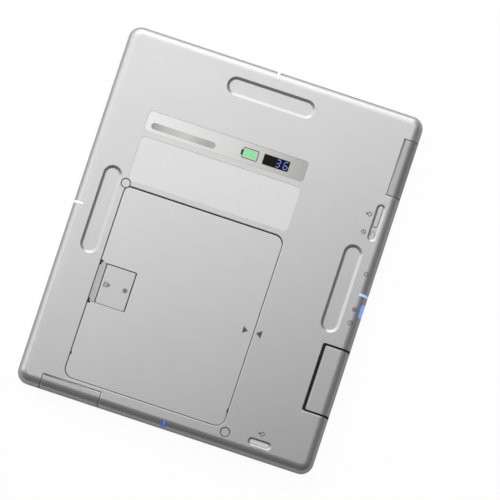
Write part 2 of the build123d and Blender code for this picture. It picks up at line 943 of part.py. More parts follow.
def battery_tray():
    """The pack's lower shell, with the two tabs that hook under the casing."""
    x = (pack_left, pack_right)
    y = (pack_bottom_y, pack_top_y)
    tray = block(x, y, (pack_bottom, cover_bottom), pack_corner_radius)
    tray -= block(
        grown(x, -tray_wall),
        grown(y, -tray_wall),
        (tray_inside, cover_bottom),
        pack_corner_radius - tray_wall,
    )
    for side in (-1, 1):
        tab_y = pack_centre_y + side * (pack_height / 2 - tab_inset)
        tray += block(
            (pack_right - tray_wall, pack_right + tab_length),
            (tab_y - tab_width / 2, tab_y + tab_width / 2),
            (cover_bottom - tab_thickness, cover_bottom),
        )
    for strip in contact_strips((pack_bottom, tray_inside)):
        tray -= strip
    return tray


def battery_cells():
    """Two flat cells side by side, right of the latch's zone."""
    left = latch_zone_end
    right = pack_right - tray_wall - cell_zone_margin
    cell_width = (right - left - cell_gap) / 2
    y = grown((pack_bottom_y, pack_top_y), -tray_wall - cell_zone_margin)
    z = (tray_inside, tray_inside + cell_thickness)
    cells = []
    for index in range(2):
        start = left + index * (cell_width + cell_gap)
        cells.append(block((start, start + cell_width), y, z))
    return group(cells)


def battery_board():
    """The pack's protection board, under the latch's zone."""
    x = (pack_left + tray_wall + cell_zone_margin, latch_zone_end - cell_gap)
    y = grown((pack_bottom_y, pack_top_y), -tray_wall - cell_zone_margin)
    return block(x, y, (tray_inside, tray_inside + pack_board_thickness))


def battery_terminals():
    return group(contact_strips((pack_bottom, tray_inside)))


def latch_plate():
    """The sliding plate with its two bolts at the left and its spring tabs below."""
    half = latch_mouth_width / 2 + latch_lip_reach
    left = mouth_left + latch_side_gap
    plate = block(
        (left, mouth_right + latch_lip_reach),
        (latch_centre_y - half, latch_centre_y + half),
        (latch_low, latch_high),
    )
    for side in (-1, 1):
        bolt_y = latch_centre_y + side * bolt_spread
        plate += block(
            (pack_left - pack_gap + bolt_tip_gap, left),
            (bolt_y - bolt_width / 2, bolt_y + bolt_width / 2),
            (latch_low, latch_high),
        )
        tab_y = latch_centre_y + side * spring_spread
        plate += block(
            spring_tab_x(),
            (tab_y - spring_tab_width / 2, tab_y + spring_tab_width / 2),
            (spring_z - spring_radius, latch_low),
        )
    return plate


def latch_grip():
    """The ribbed strip on the latch's left end."""
    left = mouth_left + latch_side_gap
    half = latch_mouth_width / 2 - latch_side_gap
    y = (latch_centre_y - half, latch_centre_y + half)
    rib_top = latch_high + latch_grip_height
    grip = block((left, left + latch_grip_length), y, (latch_high, rib_top))
    pitch = latch_grip_length / latch_rib_count
    for index in range(latch_rib_count - 1):
        groove_x = left + (index + 1) * pitch
        groove = (groove_x - pitch / 5, groove_x + pitch / 5)
        grip -= block(groove, y, (rib_top - latch_grip_height / 2, rib_top))
    return grip


def latch_springs():
    """Two return springs, drawn as sleeves of the coils' outside and bore."""
    start = spring_tab_x()[1]
    coils = []
    for side in (-1, 1):
        face = Plane(origin=(start, latch_centre_y + side * spring_spread, spring_z), z_dir=(1, 0, 0))
        bore = RegularPolygon(spring_radius - spring_wire, hidden_sides)
        section = RegularPolygon(spring_radius, hidden_sides) - bore
        sleeve = extrude(face * section, spring_length)
        coils.append(sleeve)
    return group(coils)


def switch_slider():
    """The mode switch's knob, with the stem that reaches through the casing."""
    low = switch_floor + switch_knob_lift
    knob = stadium(
        switch_x, knob_centre_y, (low, low + switch_knob_height), switch_knob_width, switch_knob_length
    )
    knob = chamfer(knob.faces().sort_by(Axis.Z)[-1].edges(), switch_knob_chamfer)
    half = switch_stem_width / 2
    return knob + block(
        (switch_x - half, switch_x + half),
        (knob_centre_y - switch_stem_length / 2, knob_centre_y + switch_stem_length / 2),
        (switch_underside - carrier_gap, low + switch_knob_height / 2),
    )


def switch_carrier():
    """The foot that keeps the knob in the casing and works the switch below."""
    top = switch_underside - carrier_gap
    return block(
        (switch_x - carrier_width / 2, switch_x + carrier_width / 2),
        (knob_centre_y - carrier_length / 2, knob_centre_y + carrier_length / 2),
        (top - carrier_height, top),
    )


def mode_switch():
    """The electric slide switch under the carrier."""
    y = switch_slot_y()
    top = switch_underside - carrier_gap - carrier_height - carrier_gap
    return block((switch_x - carrier_width / 2, switch_x + carrier_width / 2), y, (base_top, top))


def connector_cover():
    """The silver outer skin of the connector's cover, flush with the casing."""
    z = (door_leg_low() + seal_width, above)
    region = block((door_left, right_edge + overrun), (door_low_y, door_high_y), z)
    return casing_skin(door_skin) & region


def door_leg_low():
    """The lower end of the cover's leg on the side wall."""
    return connector_floor_top + door_gap


def connector_cover_frame():
    """The black frame behind the cover, which shows as its seal and hinge strip."""
    y = grown((door_low_y, door_high_y), seal_width)
    region = block((hinge_x, right_edge + overrun), y, (door_leg_low(), above))
    frame = casing_skin(wall) & region
    frame -= connector_cover()
    axis = Plane(origin=(hinge_x, y[0], hinge_z), z_dir=(0, 1, 0))
    length = y[1] - y[0]
    frame += extrude(axis * Circle(barrel_radius), length)
    frame -= extrude(axis * Circle(pin_radius + pin_running_gap), length)
    return frame


def connector_hinge_pin():
    start = Plane(origin=(hinge_x, connector_y[0] - pin_grip, hinge_z), z_dir=(0, 1, 0))
    return extrude(start * Circle(pin_radius), connector_y[1] - connector_y[0] + 2 * pin_grip)


def connector_bay():
    """The black well behind the connector's cover, open to the edge."""
    outer_x = (connector_x - connector_wall, right_edge - wall)
    outer_y = grown(connector_y, connector_wall)
    bay = block(outer_x, outer_y, (connector_floor_bottom, ceiling)) & casing_form(wall, 0)
    return bay - block((connector_x, right_edge), connector_y, (connector_floor_top, above))


def cable_receptacle():
    """The socket for the cable's plug: a frame round a tongue, open to the right."""
    middle_y = (door_low_y + door_high_y) / 2
    x = (receptacle_x, receptacle_x + receptacle_length)
    y = (middle_y - receptacle_width / 2, middle_y + receptacle_width / 2)
    z = (connector_floor_top, connector_floor_top + receptacle_height)
    body = block(x, y, z)
    body -= block(
        (x[0] + receptacle_wall, x[1]), grown(y, -receptacle_wall), grown(z, -receptacle_wall)
    )
    middle_z = (z[0] + z[1]) / 2
    half = receptacle_tongue / 2
    tongue_y = grown(y, -receptacle_tongue_margin)
    return body + block((x[0], x[1] - receptacle_wall / 2), tongue_y, (middle_z - half, middle_z + half))


def receptacle_contacts():
    """The gold strips on top of the socket's tongue."""
    middle_y = (door_low_y + door_high_y) / 2
    pitch = (receptacle_width - 2 * receptacle_tongue_margin) / receptacle_pins
    low = connector_floor_top + receptacle_height / 2 + receptacle_tongue / 2
    strips = []
    for index in range(receptacle_pins):
        at = middle_y + (index - (receptacle_pins - 1) / 2) * pitch
        strips.append(
            block(
                (receptacle_x + receptacle_wall, receptacle_x + receptacle_length - receptacle_wall),
                (at - pitch / 4, at + pitch / 4),
                (low, low + receptacle_pin_height),
            )
        )
    return group(strips)


def power_button():
    """The pill-shaped button, with the flange that keeps it in the wall."""
    inner_face = right_edge - wall
    cap = button_form(0, inner_face - flange_gap, right_edge - button_sink)
    flange = block(
        (inner_face - flange_gap - flange_thickness, inner_face - flange_gap),
        (button_y - button_length / 2 - flange_width, button_y + button_length / 2 + flange_width),
        (button_z - button_height / 2 - flange_width, button_z + button_height / 2 + flange_width),
    )
    return cap + flange


def side_board():
    """The small upright board behind the right wall, for the lights and the button."""
    x = (right_edge - side_board_inset - board_thickness, right_edge - side_board_inset)
    return block(x, side_board_y, (ledge_top, side_board_top))


def power_switch():
    """The push switch on the side board, just behind the button's flange."""
    board_face = right_edge - side_board_inset
    reach = right_edge - wall - flange_gap - flange_thickness - button_travel - power_switch_gap
    half = power_switch_length / 2
    half_height = power_switch_height / 2
    return block(
        (board_face, reach),
        (button_y - half, button_y + half),
        (button_z - half_height, button_z + half_height),
    )


def edge_window(x, y, z, radius=0.0):
    """A flush window that follows the casing's edge between the pairs x, y and z."""
    return casing_skin(wall) & block(grown(x, -window_gap), grown(y, -window_gap), z, radius)


def antenna_window_side():
    return edge_window(
        side_window_x, side_window_y, (window_low + window_gap, above), window_corner_radius
    )


def antenna_window_end():
    return edge_window(
        end_window_x, end_window_y, (window_low + window_gap, above), window_corner_radius
    )


def status_light():
    return edge_window(status_light_x, status_light_y, (status_light_low + window_gap, above))


def error_light():
    z = (status_light_low + window_gap, error_light_high - window_gap)
    return edge_window(error_light_x, error_light_y, z)


def antenna_boards():
    """Two antenna boards, each on the inside of the back wall beside its window."""
    z = (ceiling - antenna_board_thickness, ceiling)
    side_right = right_edge - back_edge_radius
    side_y = grown(side_window_y, -antenna_board_margin)
    side = block((side_right - antenna_board_width, side_right), side_y, z)
    end_low = -top_edge + back_edge_radius
    end_x = grown(end_window_x, -antenna_board_margin)
    end = block(end_x, (end_low, end_low + end_antenna_width), z)
    return group((side, end))


def light_boards():
    """A small board with a lamp behind each centre light but the right one."""
    half = light_board_length / 2
    z = (ledge_top, ledge_top + light_board_height)
    inner_x = right_edge - wall
    inner_y = top_edge - wall
    return group(
        (
            block((-half, half), (inner_y - board_thickness, inner_y), z),
            block((-half, half), (-inner_y, -inner_y + board_thickness), z),
            block((-inner_x, -inner_x + board_thickness), (-half, half), z),
        )
    )


def display_panel():
    """The pale film that covers the display strip, cut out round the lens and bars."""
    z = (depth - strip_recess, depth - strip_sink)
    film = block(grown(strip_x, -strip_gap), grown(strip_y, -strip_gap), z, strip_radius - strip_gap)
    film -= block(lens_x, lens_y, z)
    for bar in level_bars(0, z):
        film -= bar
    return film


def display_lens():
    z = (ceiling, depth - strip_sink)
    return block(grown(lens_x, -strip_gap), grown(lens_y, -strip_gap), z)


def battery_level_lights():
    return group(level_bars(-strip_gap, (ceiling, depth - strip_sink)))


def display_module():
    """The display's board on the inside of the back wall, under the lens and bars."""
    margin = display_board_margin
    x = (level_bars_x - margin, lens_x[1] + margin)
    z = (ceiling - display_board_thickness, ceiling)
    return block(x, grown(lens_y, margin), z)


def memo_label():
    z = (depth - memo_recess, depth - memo_recess + memo_film)
    return block(grown(memo_x, -strip_gap), grown(memo_y, -strip_gap), z, memo_radius - strip_gap)


def infrared_window():
    """The lens in the infrared recess, with its top just below the recess floor."""
    return stadium(
        infrared_x,
        infrared_y,
        (ceiling, depth - infrared_recess_depth - strip_sink),
        infrared_lens_length - 2 * window_gap,
        infrared_lens_width - 2 * window_gap,
    )


def infrared_module():
    z = (ceiling - infrared_module_height, ceiling)
    module = centred_block(infrared_recess_length, infrared_recess_width, z)
    return Pos(infrared_x, infrared_y, 0) * module


def round_caps():
    """Two round caps, each with a ring groove in its face."""
    caps = []
    for x, y in (upper_cap, lower_cap):
        cap = rod(x, y, (depth - cap_thickness, depth), cap_radius - cap_gap, shown_sides)
        groove_z = (depth - cap_groove_depth, above)
        groove = rod(x, y, groove_z, cap_groove_radius, shown_sides)
        groove -= rod(x, y, groove_z, cap_groove_radius - cap_groove_width, shown_sides)
        caps.append(cap - groove)
    return group(caps)


makers = {
    "rear_casing": rear_casing,
    "front_plate": front_plate,
    "front_tape": front_tape,
    "sensor_pad": sensor_pad,
    "sensor_glass": sensor_glass,
    "scintillator": scintillator,
    "base_plate": base_plate,
    "base_screws": base_screws,
    "gate_flexes": gate_flexes,
    "readout_flexes": readout_flexes,
    "board_standoffs": board_standoffs,
    "board_chips": board_chips,
    "wireless_module": wireless_module,
    "board_links": board_links,
    "battery_bay": battery_bay,
    "bay_contacts": bay_contacts,
    "battery_cover": battery_cover,
    "battery_tray": battery_tray,
    "battery_cells": battery_cells,
    "battery_board": battery_board,
    "battery_terminals": battery_terminals,
    "latch_plate": latch_plate,
    "latch_grip": latch_grip,
    "latch_springs": latch_springs,
    "switch_slider": switch_slider,
    "switch_carrier": switch_carrier,
    "mode_switch": mode_switch,
    "connector_cover": connector_cover,
    "connector_cover_frame": connector_cover_frame,
    "connector_hinge_pin": connector_hinge_pin,
    "connector_bay": connector_bay,
    "cable_receptacle": cable_receptacle,
    "receptacle_contacts": receptacle_contacts,
    "power_button": power_button,
    "side_board": side_board,
    "power_switch": power_switch,
    "antenna_window_side": antenna_window_side,
    "antenna_window_end": antenna_window_end,
    "status_light": status_light,
    "error_light": error_light,
    "antenna_boards": antenna_boards,
    "light_boards": light_boards,
    "display_panel": display_panel,
    "display_lens": display_lens,
    "battery_level_lights": battery_level_lights,
    "display_module": display_module,
    "memo_label": memo_label,
    "infrared_window": infrared_window,
    "infrared_module": infrared_module,
    "round_caps": round_caps,
}

os.makedirs("parts", exist_ok=True)
for name, make in makers.items():
    export_step(make(), f"parts/{name}.step")
for name, (x, y) in boards.items():
    export_step(circuit_board(x, y), f"parts/{name}.step")
for name, (x, y) in centre_lights.items():
    export_step(edge_window(x, y, (centre_light_low + window_gap, above)), f"parts/{name}.step")
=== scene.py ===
import json
import math
from collections import namedtuple

import bmesh
import bpy
from mathutils import Matrix, Quaternion, Vector


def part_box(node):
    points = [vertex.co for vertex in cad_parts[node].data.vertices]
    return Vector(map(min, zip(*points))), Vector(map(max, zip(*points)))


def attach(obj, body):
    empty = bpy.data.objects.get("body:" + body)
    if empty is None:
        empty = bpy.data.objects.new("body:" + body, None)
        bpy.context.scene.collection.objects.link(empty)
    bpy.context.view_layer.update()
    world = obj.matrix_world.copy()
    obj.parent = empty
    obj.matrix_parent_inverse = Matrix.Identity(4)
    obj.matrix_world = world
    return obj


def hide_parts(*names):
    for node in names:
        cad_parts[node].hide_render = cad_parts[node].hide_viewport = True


bl_info = {
    "name": "Flat Panel Detector Dresser",
    "version": (1, 0, 0),
    "blender": (4, 5, 0),
    "location": "3D View > Sidebar > Detector",
    "description": "Builds the pieces and finishes of a flat panel x-ray detector around its frame",
    "category": "Object",
}

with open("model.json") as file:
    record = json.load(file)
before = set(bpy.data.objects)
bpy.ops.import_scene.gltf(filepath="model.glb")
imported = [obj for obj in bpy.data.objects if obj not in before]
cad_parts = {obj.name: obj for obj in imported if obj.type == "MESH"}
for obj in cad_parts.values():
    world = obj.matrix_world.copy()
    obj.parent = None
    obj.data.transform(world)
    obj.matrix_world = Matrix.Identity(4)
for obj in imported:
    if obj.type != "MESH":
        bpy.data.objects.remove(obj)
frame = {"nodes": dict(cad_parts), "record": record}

MM = 0.001
SHARP = 0.01 * MM
WELD = SHARP / 50

Span = namedtuple("Span", "x y z")
Outline = namedtuple("Outline", "x y half_x half_y radius")


def span(node):
    """Where a node of the frame lies, as a pair along each axis."""
    low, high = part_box(node)
    return Span((low.x, high.x), (low.y, high.y), (low.z, high.z))


def grown(pair, amount):
    """The pair with both ends moved outwards by amount."""
    return (pair[0] - amount, pair[1] + amount)


def about(value, half):
    """The pair that reaches half to either side of the value."""
    return (value - half, value + half)


def middle(pair):
    """The middle of a pair."""
    return (pair[0] + pair[1]) / 2


def footprint(place, amount=0.0):
    """The pairs along X and Y of a place, grown by amount."""
    return grown(place.x, amount), grown(place.y, amount)


def between(x, y, radius=0.0):
    """The outline with round corners that fills the pairs x and y."""
    half_x = (x[1] - x[0]) / 2
    half_y = (y[1] - y[0]) / 2
    return Outline(middle(x), middle(y), half_x, half_y, min(radius, half_x, half_y))


def disc(x, y, radius):
    """A round outline."""
    return Outline(x, y, radius, radius, radius)


# Heights and edges of the casing, read from the frame
CASING = span("rear_casing")
RIGHT = CASING.x[1]
TOP = CASING.y[1]
DEPTH = CASING.z[1]
CASING_LOW = CASING.z[0]
CEILING = span("display_module").z[1]
WALL = DEPTH - CEILING
LEDGE_TOP = span("light_boards").z[0]
LEDGE_BOTTOM = span("front_tape").z[1]
PACK = span("battery_cover")
ABOVE = DEPTH + 1.0 * MM

# How far a print stands proud, and how wide its lines are
INK = 0.03 * MM
LINE = 0.6 * MM

# Corners in plan of the recesses for the display strip and the memo label
STRIP_CORNER = 3 * MM
MEMO_CORNER = 4 * MM

# The display strip's printed bar
BAR_X = (-91.1 * MM, -32.6 * MM)
BAR_Y = (80.6 * MM, 86.4 * MM)

# The mode switch: where its stem stands along Y, the depth of its recess and its way down
SWITCH_STEM = 76.5 * MM
SWITCH_DEPTH = 0.95 * MM
SWITCH_TRAVEL = 11.5 * MM

# The latch: its way to the right, and its bolts' distance from its middle line
LATCH_TRAVEL = 3.5 * MM
BOLT_REACH = 17.4 * MM

# Corners in plan of the connector's cover and of the frame behind it
DOOR_CORNER = 1.1 * MM
DOOR_FRAME_CORNER = 3.2 * MM

# The windows and lights on the casing's edge, with their finishes
ANTENNA_WINDOWS = {
    "antenna_window_side": "grey_window_plastic",
    "antenna_window_end": "silver_window_plastic",
}
# The top and left centre lights glow whiter and the right one paler than the bottom one: a painted
# highlight on the lights that face the lamps.
EDGE_LIGHTS = {
    "centre_light_top": "light_white",
    "centre_light_bottom": "light_blue",
    "centre_light_left": "light_white",
    "centre_light_right": "light_pale",
    "status_light": "light_soft",
    "error_light": "light_off",
}


# Mesh helpers

def outline_points(outline, grow, steps):
    """The outline grown by grow, anticlockwise, with an arc of so many steps at each corner."""
    points = []
    for corner in range(4):
        own = outline.radius[corner] if isinstance(outline.radius, tuple) else outline.radius
        radius = max(own + grow, SHARP)
        reach_x = outline.half_x + grow - radius
        reach_y = outline.half_y + grow - radius
        side_x = 1 if corner in (0, 3) else -1
        side_y = 1 if corner in (0, 1) else -1
        for step in range(steps + 1):
            angle = math.radians(90 * (corner + step / steps))
            x = outline.x + side_x * reach_x + radius * math.cos(angle)
            y = outline.y + side_y * reach_y + radius * math.sin(angle)
            points.append((x, y))
    return points


def softened(points, radii, steps=5):
    """A profile whose inner points are rounded by arcs of the radii."""
    profile = [points[0]]
    for before, corner, after, radius in zip(points, points[1:], points[2:], radii):
        here = Vector(corner)
        back = (Vector(before) - here).normalized()
        ahead = (Vector(after) - here).normalized()
        half_angle = back.angle(ahead) / 2
        start = here + back * (radius / math.tan(half_angle))
        centre = here + (back + ahead).normalized() * (radius / math.sin(half_angle))
        spoke = start - centre
        sweep = (math.pi - 2 * half_angle) * (1 if back.cross(ahead) < 0 else -1)
        for step in range(steps + 1):
            turned = Matrix.Rotation(sweep * step / steps, 2) @ spoke
            profile.append(tuple(centre + turned))
    profile.append(points[-1])
    return profile


def mouth(low, top, radius):
    """The profile of a hole whose upper edge is rounded, which reaches above the surface."""
    edge = softened([(0.0, low), (0.0, top), (2 * radius, top)], [radius])[:-1]
    return edge + [(radius, top + (ABOVE - DEPTH))]


def plug(low, top, radius):
    """The profile of a flat piece whose upper edge is rounded."""
    return softened([(0.0, low), (0.0, top), (-2 * radius, top)], [radius])[:-1]


def straight(low, top):
    """A profile with upright sides."""
    return [(0.0, low), (0.0, top)]


def new_object(name, builder):
    """An object made of the built mesh, which the builder gives up."""
    bmesh.ops.remove_doubles(builder, verts=builder.verts, dist=WELD)
    bmesh.ops.dissolve_degenerate(builder, edges=builder.edges, dist=WELD)
    bmesh.ops.recalc_face_normals(builder, faces=builder.faces)
    mesh = bpy.data.meshes.new(name)
    builder.to_mesh(mesh)
    builder.free()
    made = bpy.data.objects.new(name, mesh)
    bpy.context.scene.collection.objects.link(made)
    return made


def bridged(builder, lower, upper):
    """Walls between two rings with as many vertices."""
    for index in range(len(lower)):
        after = (index + 1) % len(lower)
        builder.faces.new((lower[index], lower[after], upper[after], upper[index]))


def capped(builder, lower, upper):
    """Faces over the two end rings."""
    builder.faces.new(list(reversed(lower)))
    builder.faces.new(upper)


def lofted(name, outline, profile, steps=6, placed=None):
    """A closed solid through the outline grown by each step of the profile, (grow, height) pairs."""
    builder = bmesh.new()
    rings = []
    for grow, height in profile:
        points = outline_points(outline, grow, steps)
        rings.append([builder.verts.new((x, y, height)) for x, y in points])
    for lower, upper in zip(rings, rings[1:]):
        bridged(builder, lower, upper)
    capped(builder, rings[0], rings[-1])
    if placed:
        bmesh.ops.transform(builder, matrix=placed, verts=builder.verts)
    return new_object(name, builder)


def block(name, x, y, z, radius=0.0, steps=6):
    """A block between the pairs x, y and z, with round corners in plan."""
    return lofted(name, between(x, y, radius), straight(*z), steps)


def tile(name, place, corner, edge, steps=6):
    """A flat piece that fills a place, with round corners and a rounded upper edge."""
    return lofted(name, between(place.x, place.y, corner), plug(*place.z, edge), steps)


def prism(name, section, y):
    """A solid with the section, points in X and Z, between the pair y."""
    builder = bmesh.new()
    near, far = [[builder.verts.new((x, end, z)) for x, z in section] for end in y]
    bridged(builder, far, near)
    capped(builder, far, near)
    return new_object(name, builder)


def combined(piece, other, operation):
    """Cuts, joins or intersects the piece with the other one, which is used up."""
    modifier = piece.modifiers.new("combine", "BOOLEAN")
    modifier.operation = operation
    modifier.solver = "EXACT"
    modifier.object = other
    apply_modifiers(piece)
    if not piece.data.polygons:
        raise RuntimeError(f"{piece.name}: nothing is left after {operation}")
    used_up = other.data
    bpy.data.objects.remove(other)
    bpy.data.meshes.remove(used_up)
    return piece


def apply_modifiers(piece):
    """Puts what the piece's modifiers make into its mesh."""
    depsgraph = bpy.context.evaluated_depsgraph_get()
    result = bpy.data.meshes.new_from_object(piece.evaluated_get(depsgraph))
    piece.modifiers.clear()
    before = piece.data
    piece.data = result
    bpy.data.meshes.remove(before)
    result.name = piece.name


def cut(piece, *cutters):
    """Takes the cutters out of the piece."""
    for cutter in cutters:
        combined(piece, cutter, "DIFFERENCE")
    return piece


def join(piece, *others):
    """Joins the others to the piece."""
    for other in others:
        combined(piece, other, "UNION")
    return piece


def smoothed(piece):
    """Shades the piece smoothly but for its sharp edges."""
    mesh = piece.data
    mesh.shade_smooth()
    mesh.set_sharp_from_angle(angle=math.radians(28))
    weighted = piece.modifiers.new("weighted", "WEIGHTED_NORMAL")
    weighted.keep_sharp = True
    weighted.weight = 100
    apply_modifiers(piece)


def dressed(piece, slot, body, *nodes):
    """Finishes a piece: its shading, its material, the body it rides on and the nodes it stands for."""
    smoothed(piece)
    piece.data.materials.clear()
    piece.data.materials.append(finish(slot))
    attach(piece, body)
    if nodes:
        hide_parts(*nodes)
    return piece


# The casing's outer skin

def edge_distance(x, y, settings):
    """How far a place in plan lies inside the casing's edge, and the way out to that edge."""
    corner = settings.corner_radius
    over_x = abs(x) - (RIGHT - corner)
    over_y = abs(y) - (TOP - corner)
    if over_x > 0 and over_y > 0:
        way_out = Vector((math.copysign(over_x, x), math.copysign(over_y, y), 0.0))
        return corner - way_out.length, way_out.normalized()
    if over_x > over_y:
        return RIGHT - abs(x), Vector((math.copysign(1.0, x), 0.0, 0.0))
    return TOP - abs(y), Vector((0.0, math.copysign(1.0, y), 0.0))


def casing_height(x, y, settings):
    """The height of the casing's back surface at a place in plan."""
    radius = settings.back_edge_radius
    drop_at = radius - edge_distance(x, y, settings)[0]
    if drop_at <= 0:
        return DEPTH
    return DEPTH - radius + math.sqrt(max(radius ** 2 - drop_at ** 2, 0.0))


def outward(place, settings):
    """The direction out of the casing's skin at a place in it."""
    radius = settings.back_edge_radius
    distance, way_out = edge_distance(place.x, place.y, settings)
    rise = max(place.z - (DEPTH - radius), 0.0)
    return (way_out * max(radius - distance, 0.0) + Vector((0.0, 0.0, rise))).normalized()


def skin_depth(place, settings):
    """How deep a place above the front rounding lies under the casing's outer skin."""
    radius = settings.back_edge_radius
    distance = edge_distance(place.x, place.y, settings)[0]
    rise = max(place.z - (DEPTH - radius), 0.0)
    if distance > radius:
        return DEPTH - place.z
    return radius - math.hypot(radius - distance, rise)


def on_surface(place, settings):
    """Whether a place lies in the casing's outer skin."""
    return abs(skin_depth(place, settings)) < 3 * SHARP


def wall_normal(edge, centre, settings):
    """The way that the wall beside an edge of the skin faces."""
    out = outward(centre, settings)
    return min((face.normal for face in edge.link_faces), key=lambda normal: normal.dot(out))


def eased(piece, settings, *places):
    """Slants the piece's edges in the skin whose walls face +Y or -X, inside the places in plan."""
    builder = bmesh.new()
    builder.from_mesh(piece.data)
    flattest = math.radians(40)
    facing = 0.5
    rounding_end = settings.front_edge_radius + 0.1 * MM
    push = settings.window_edge - settings.window_edge_drop
    chosen = []
    for edge in builder.edges:
        if len(edge.link_faces) != 2 or edge.calc_face_angle() < flattest:
            continue
        ends = [vert.co for vert in edge.verts]
        if not all(on_surface(end, settings) for end in ends):
            continue
        centre = (ends[0] + ends[1]) / 2
        wall = wall_normal(edge, centre, settings)
        if max(wall.y, -wall.x) < facing:
            continue
        if any(x[0] < centre.x < x[1] and y[0] < centre.y < y[1] for x, y in places):
            chosen.append(edge)
    slanted = bmesh.ops.bevel(
        builder,
        geom=chosen,
        offset=settings.window_edge,
        offset_type="OFFSET",
        segments=1,
        profile=0.5,
        affect="EDGES",
        clamp_overlap=False,
    )
    for vert in slanted["verts"]:
        if vert.co.z > rounding_end and not on_surface(vert.co, settings):
            vert.co += outward(vert.co, settings) * push
        overshoot = -skin_depth(vert.co, settings)
        if overshoot > 0:
            vert.co -= outward(vert.co, settings) * overshoot
    builder.to_mesh(piece.data)
    builder.free()
    return piece


# Forms that several pieces share

def casing_outline(settings):
    """The casing in plan."""
    return Outline(0.0, 0.0, RIGHT, TOP, settings.corner_radius)


def casing_form(name, settings):
    """The solid inside the casing's outer surface."""
    front = settings.front_edge_radius
    back = settings.back_edge_radius
    points = [(-2 * front, CASING_LOW), (0.0, CASING_LOW), (0.0, DEPTH), (-2 * back, DEPTH)]
    profile = softened(points, [front, back], 14)
    return lofted(name, casing_outline(settings), profile[1:-1], 14)


def inner_form(name, settings, wall=WALL, low=LEDGE_TOP, arc_steps=8, corner_steps=10):
    """The solid inside a casing wall of that thickness, from the height low to the back wall."""
    back = settings.back_edge_radius - wall
    points = [(-wall, low), (-wall, DEPTH - wall), (-wall - 2 * back, DEPTH - wall)]
    profile = softened(points, [back], arc_steps)[:-1]
    return lofted(name, casing_outline(settings), profile, corner_steps)


def skin_piece(name, settings, region):
    """A piece of the casing's wall inside the region, which is used up."""
    piece = casing_form(name, settings)
    combined(piece, region, "INTERSECT")
    return cut(piece, inner_form("inside", settings))


def end_corner(node_name, windows):
    """The corners in plan of a window or light of the casing's edge."""
    light_corner = 1.15 * MM
    if node_name in ANTENNA_WINDOWS:
        return windows.window_corner
    return light_corner if node_name.startswith("centre_light") else 0.0


def past_edge(pair, whole, edge, extra):
    """The pair, taken past the casing's edge by extra at each end where the whole node reaches it."""
    low, high = pair
    if whole[0] < -edge + WALL:
        low = whole[0] - extra
    if whole[1] > edge - WALL:
        high = whole[1] + extra
    return (low, high)


def window_region(node_name, windows):
    """The block that a window of the casing's edge fills, with its seam left free."""
    place = span(node_name)
    corner = end_corner(node_name, windows)
    x, y = footprint(place, -windows.seam)
    x = past_edge(x, place.x, RIGHT, corner + WALL)
    y = past_edge(y, place.y, TOP, corner + WALL)
    edge_depth = 4 * MM
    in_side_wall = place.z[1] < DEPTH - edge_depth
    high = place.z[1] - windows.seam if in_side_wall else ABOVE
    return x, y, (place.z[0] + windows.seam, high), corner


def window_hole(node_name, windows):
    """The cutter for the hole that a window of the casing's edge sits in."""
    x, y, z, corner = window_region(node_name, windows)
    gap = 0.12 * MM
    wider = windows.seam + gap
    return block("hole", grown(x, wider), grown(y, wider), grown(z, wider), corner)


# Materials

def grey(value):
    """A grey of that lightness."""
    return (value, value, value)


def new_material(name, colour, roughness, metallic=0.0, specular=0.5):
    """A material with plain values, and its shader."""
    material = bpy.data.materials.new(name)
    material.use_nodes = True
    shader = material.node_tree.nodes["Principled BSDF"]
    shader.inputs["Base Color"].default_value = (*colour, 1.0)
    shader.inputs["Roughness"].default_value = roughness
    shader.inputs["Metallic"].default_value = metallic
    shader.inputs["Specular IOR Level"].default_value = specular
    return material, shader


def node(material, kind, **values):
    """A new node, with links or values for its inputs, or values for its own settings."""
    made = material.node_tree.nodes.new(kind)
    for key, value in values.items():
        if isinstance(value, bpy.types.NodeSocket):
            link(material, value, made.inputs[key])
        elif hasattr(made, key):
            setattr(made, key, value)
        else:
            made.inputs[key].default_value = value
    return made


def link(material, start, end):
    """Joins an output socket to an input socket."""
    material.node_tree.links.new(start, end)


def object_place(material):
    """The place on the piece, in metres from the frame's origin."""
    return node(material, "ShaderNodeTexCoord").outputs["Object"]


def place_parts(material):
    """The X, Y and Z of the place on the piece."""
    return node(material, "ShaderNodeSeparateXYZ", Vector=object_place(material)).outputs


def noise(material, size, detail=2.0, stretch=(1.0, 1.0, 1.0)):
    """A noise with grains of about the size, stretched along the axes."""
    scale = [1 / (size * part) for part in stretch]
    mapping = node(material, "ShaderNodeMapping", Scale=scale, Vector=object_place(material))
    place = mapping.outputs["Vector"]
    return node(material, "ShaderNodeTexNoise", Scale=1.0, Detail=detail, Vector=place).outputs["Fac"]


def ramp(material, factor, stops):
    """A colour ramp over the factor, with (place, colour) stops."""
    made = node(material, "ShaderNodeValToRGB", Fac=factor)
    points = made.color_ramp.elements
    while len(points) < len(stops):
        points.new(0.5)
    for point, (place, colour) in zip(points, stops):
        point.position = place
        point.color = (*colour, 1.0)
    return made.outputs["Color"]


def ranged(material, value, low, high, start=0.0, end=1.0):
    """The value, taken from between start and end to between low and high."""
    limits = {"From Min": start, "From Max": end, "To Min": low, "To Max": high}
    return node(material, "ShaderNodeMapRange", Value=value, **limits).outputs["Result"]


def multiplied(material, first, second):
    """One colour times the other."""
    ways = {"data_type": "RGBA", "blend_type": "MULTIPLY"}
    return node(material, "ShaderNodeMix", **ways, Factor=1.0, A=first, B=second).outputs["Result"]


def calculated(material, operation, *values):
    """A math node over sockets or numbers."""
    made = node(material, "ShaderNodeMath", operation=operation)
    for value, socket in zip(values, made.inputs):
        if isinstance(value, (int, float)):
            socket.default_value = value
        else:
            link(material, value, socket)
    return made.outputs["Value"]


def shaded(colour, amount):
    """The colour made lighter or darker by the share amount."""
    return tuple(min(max(part * (1 + amount), 0.0), 1.0) for part in colour)


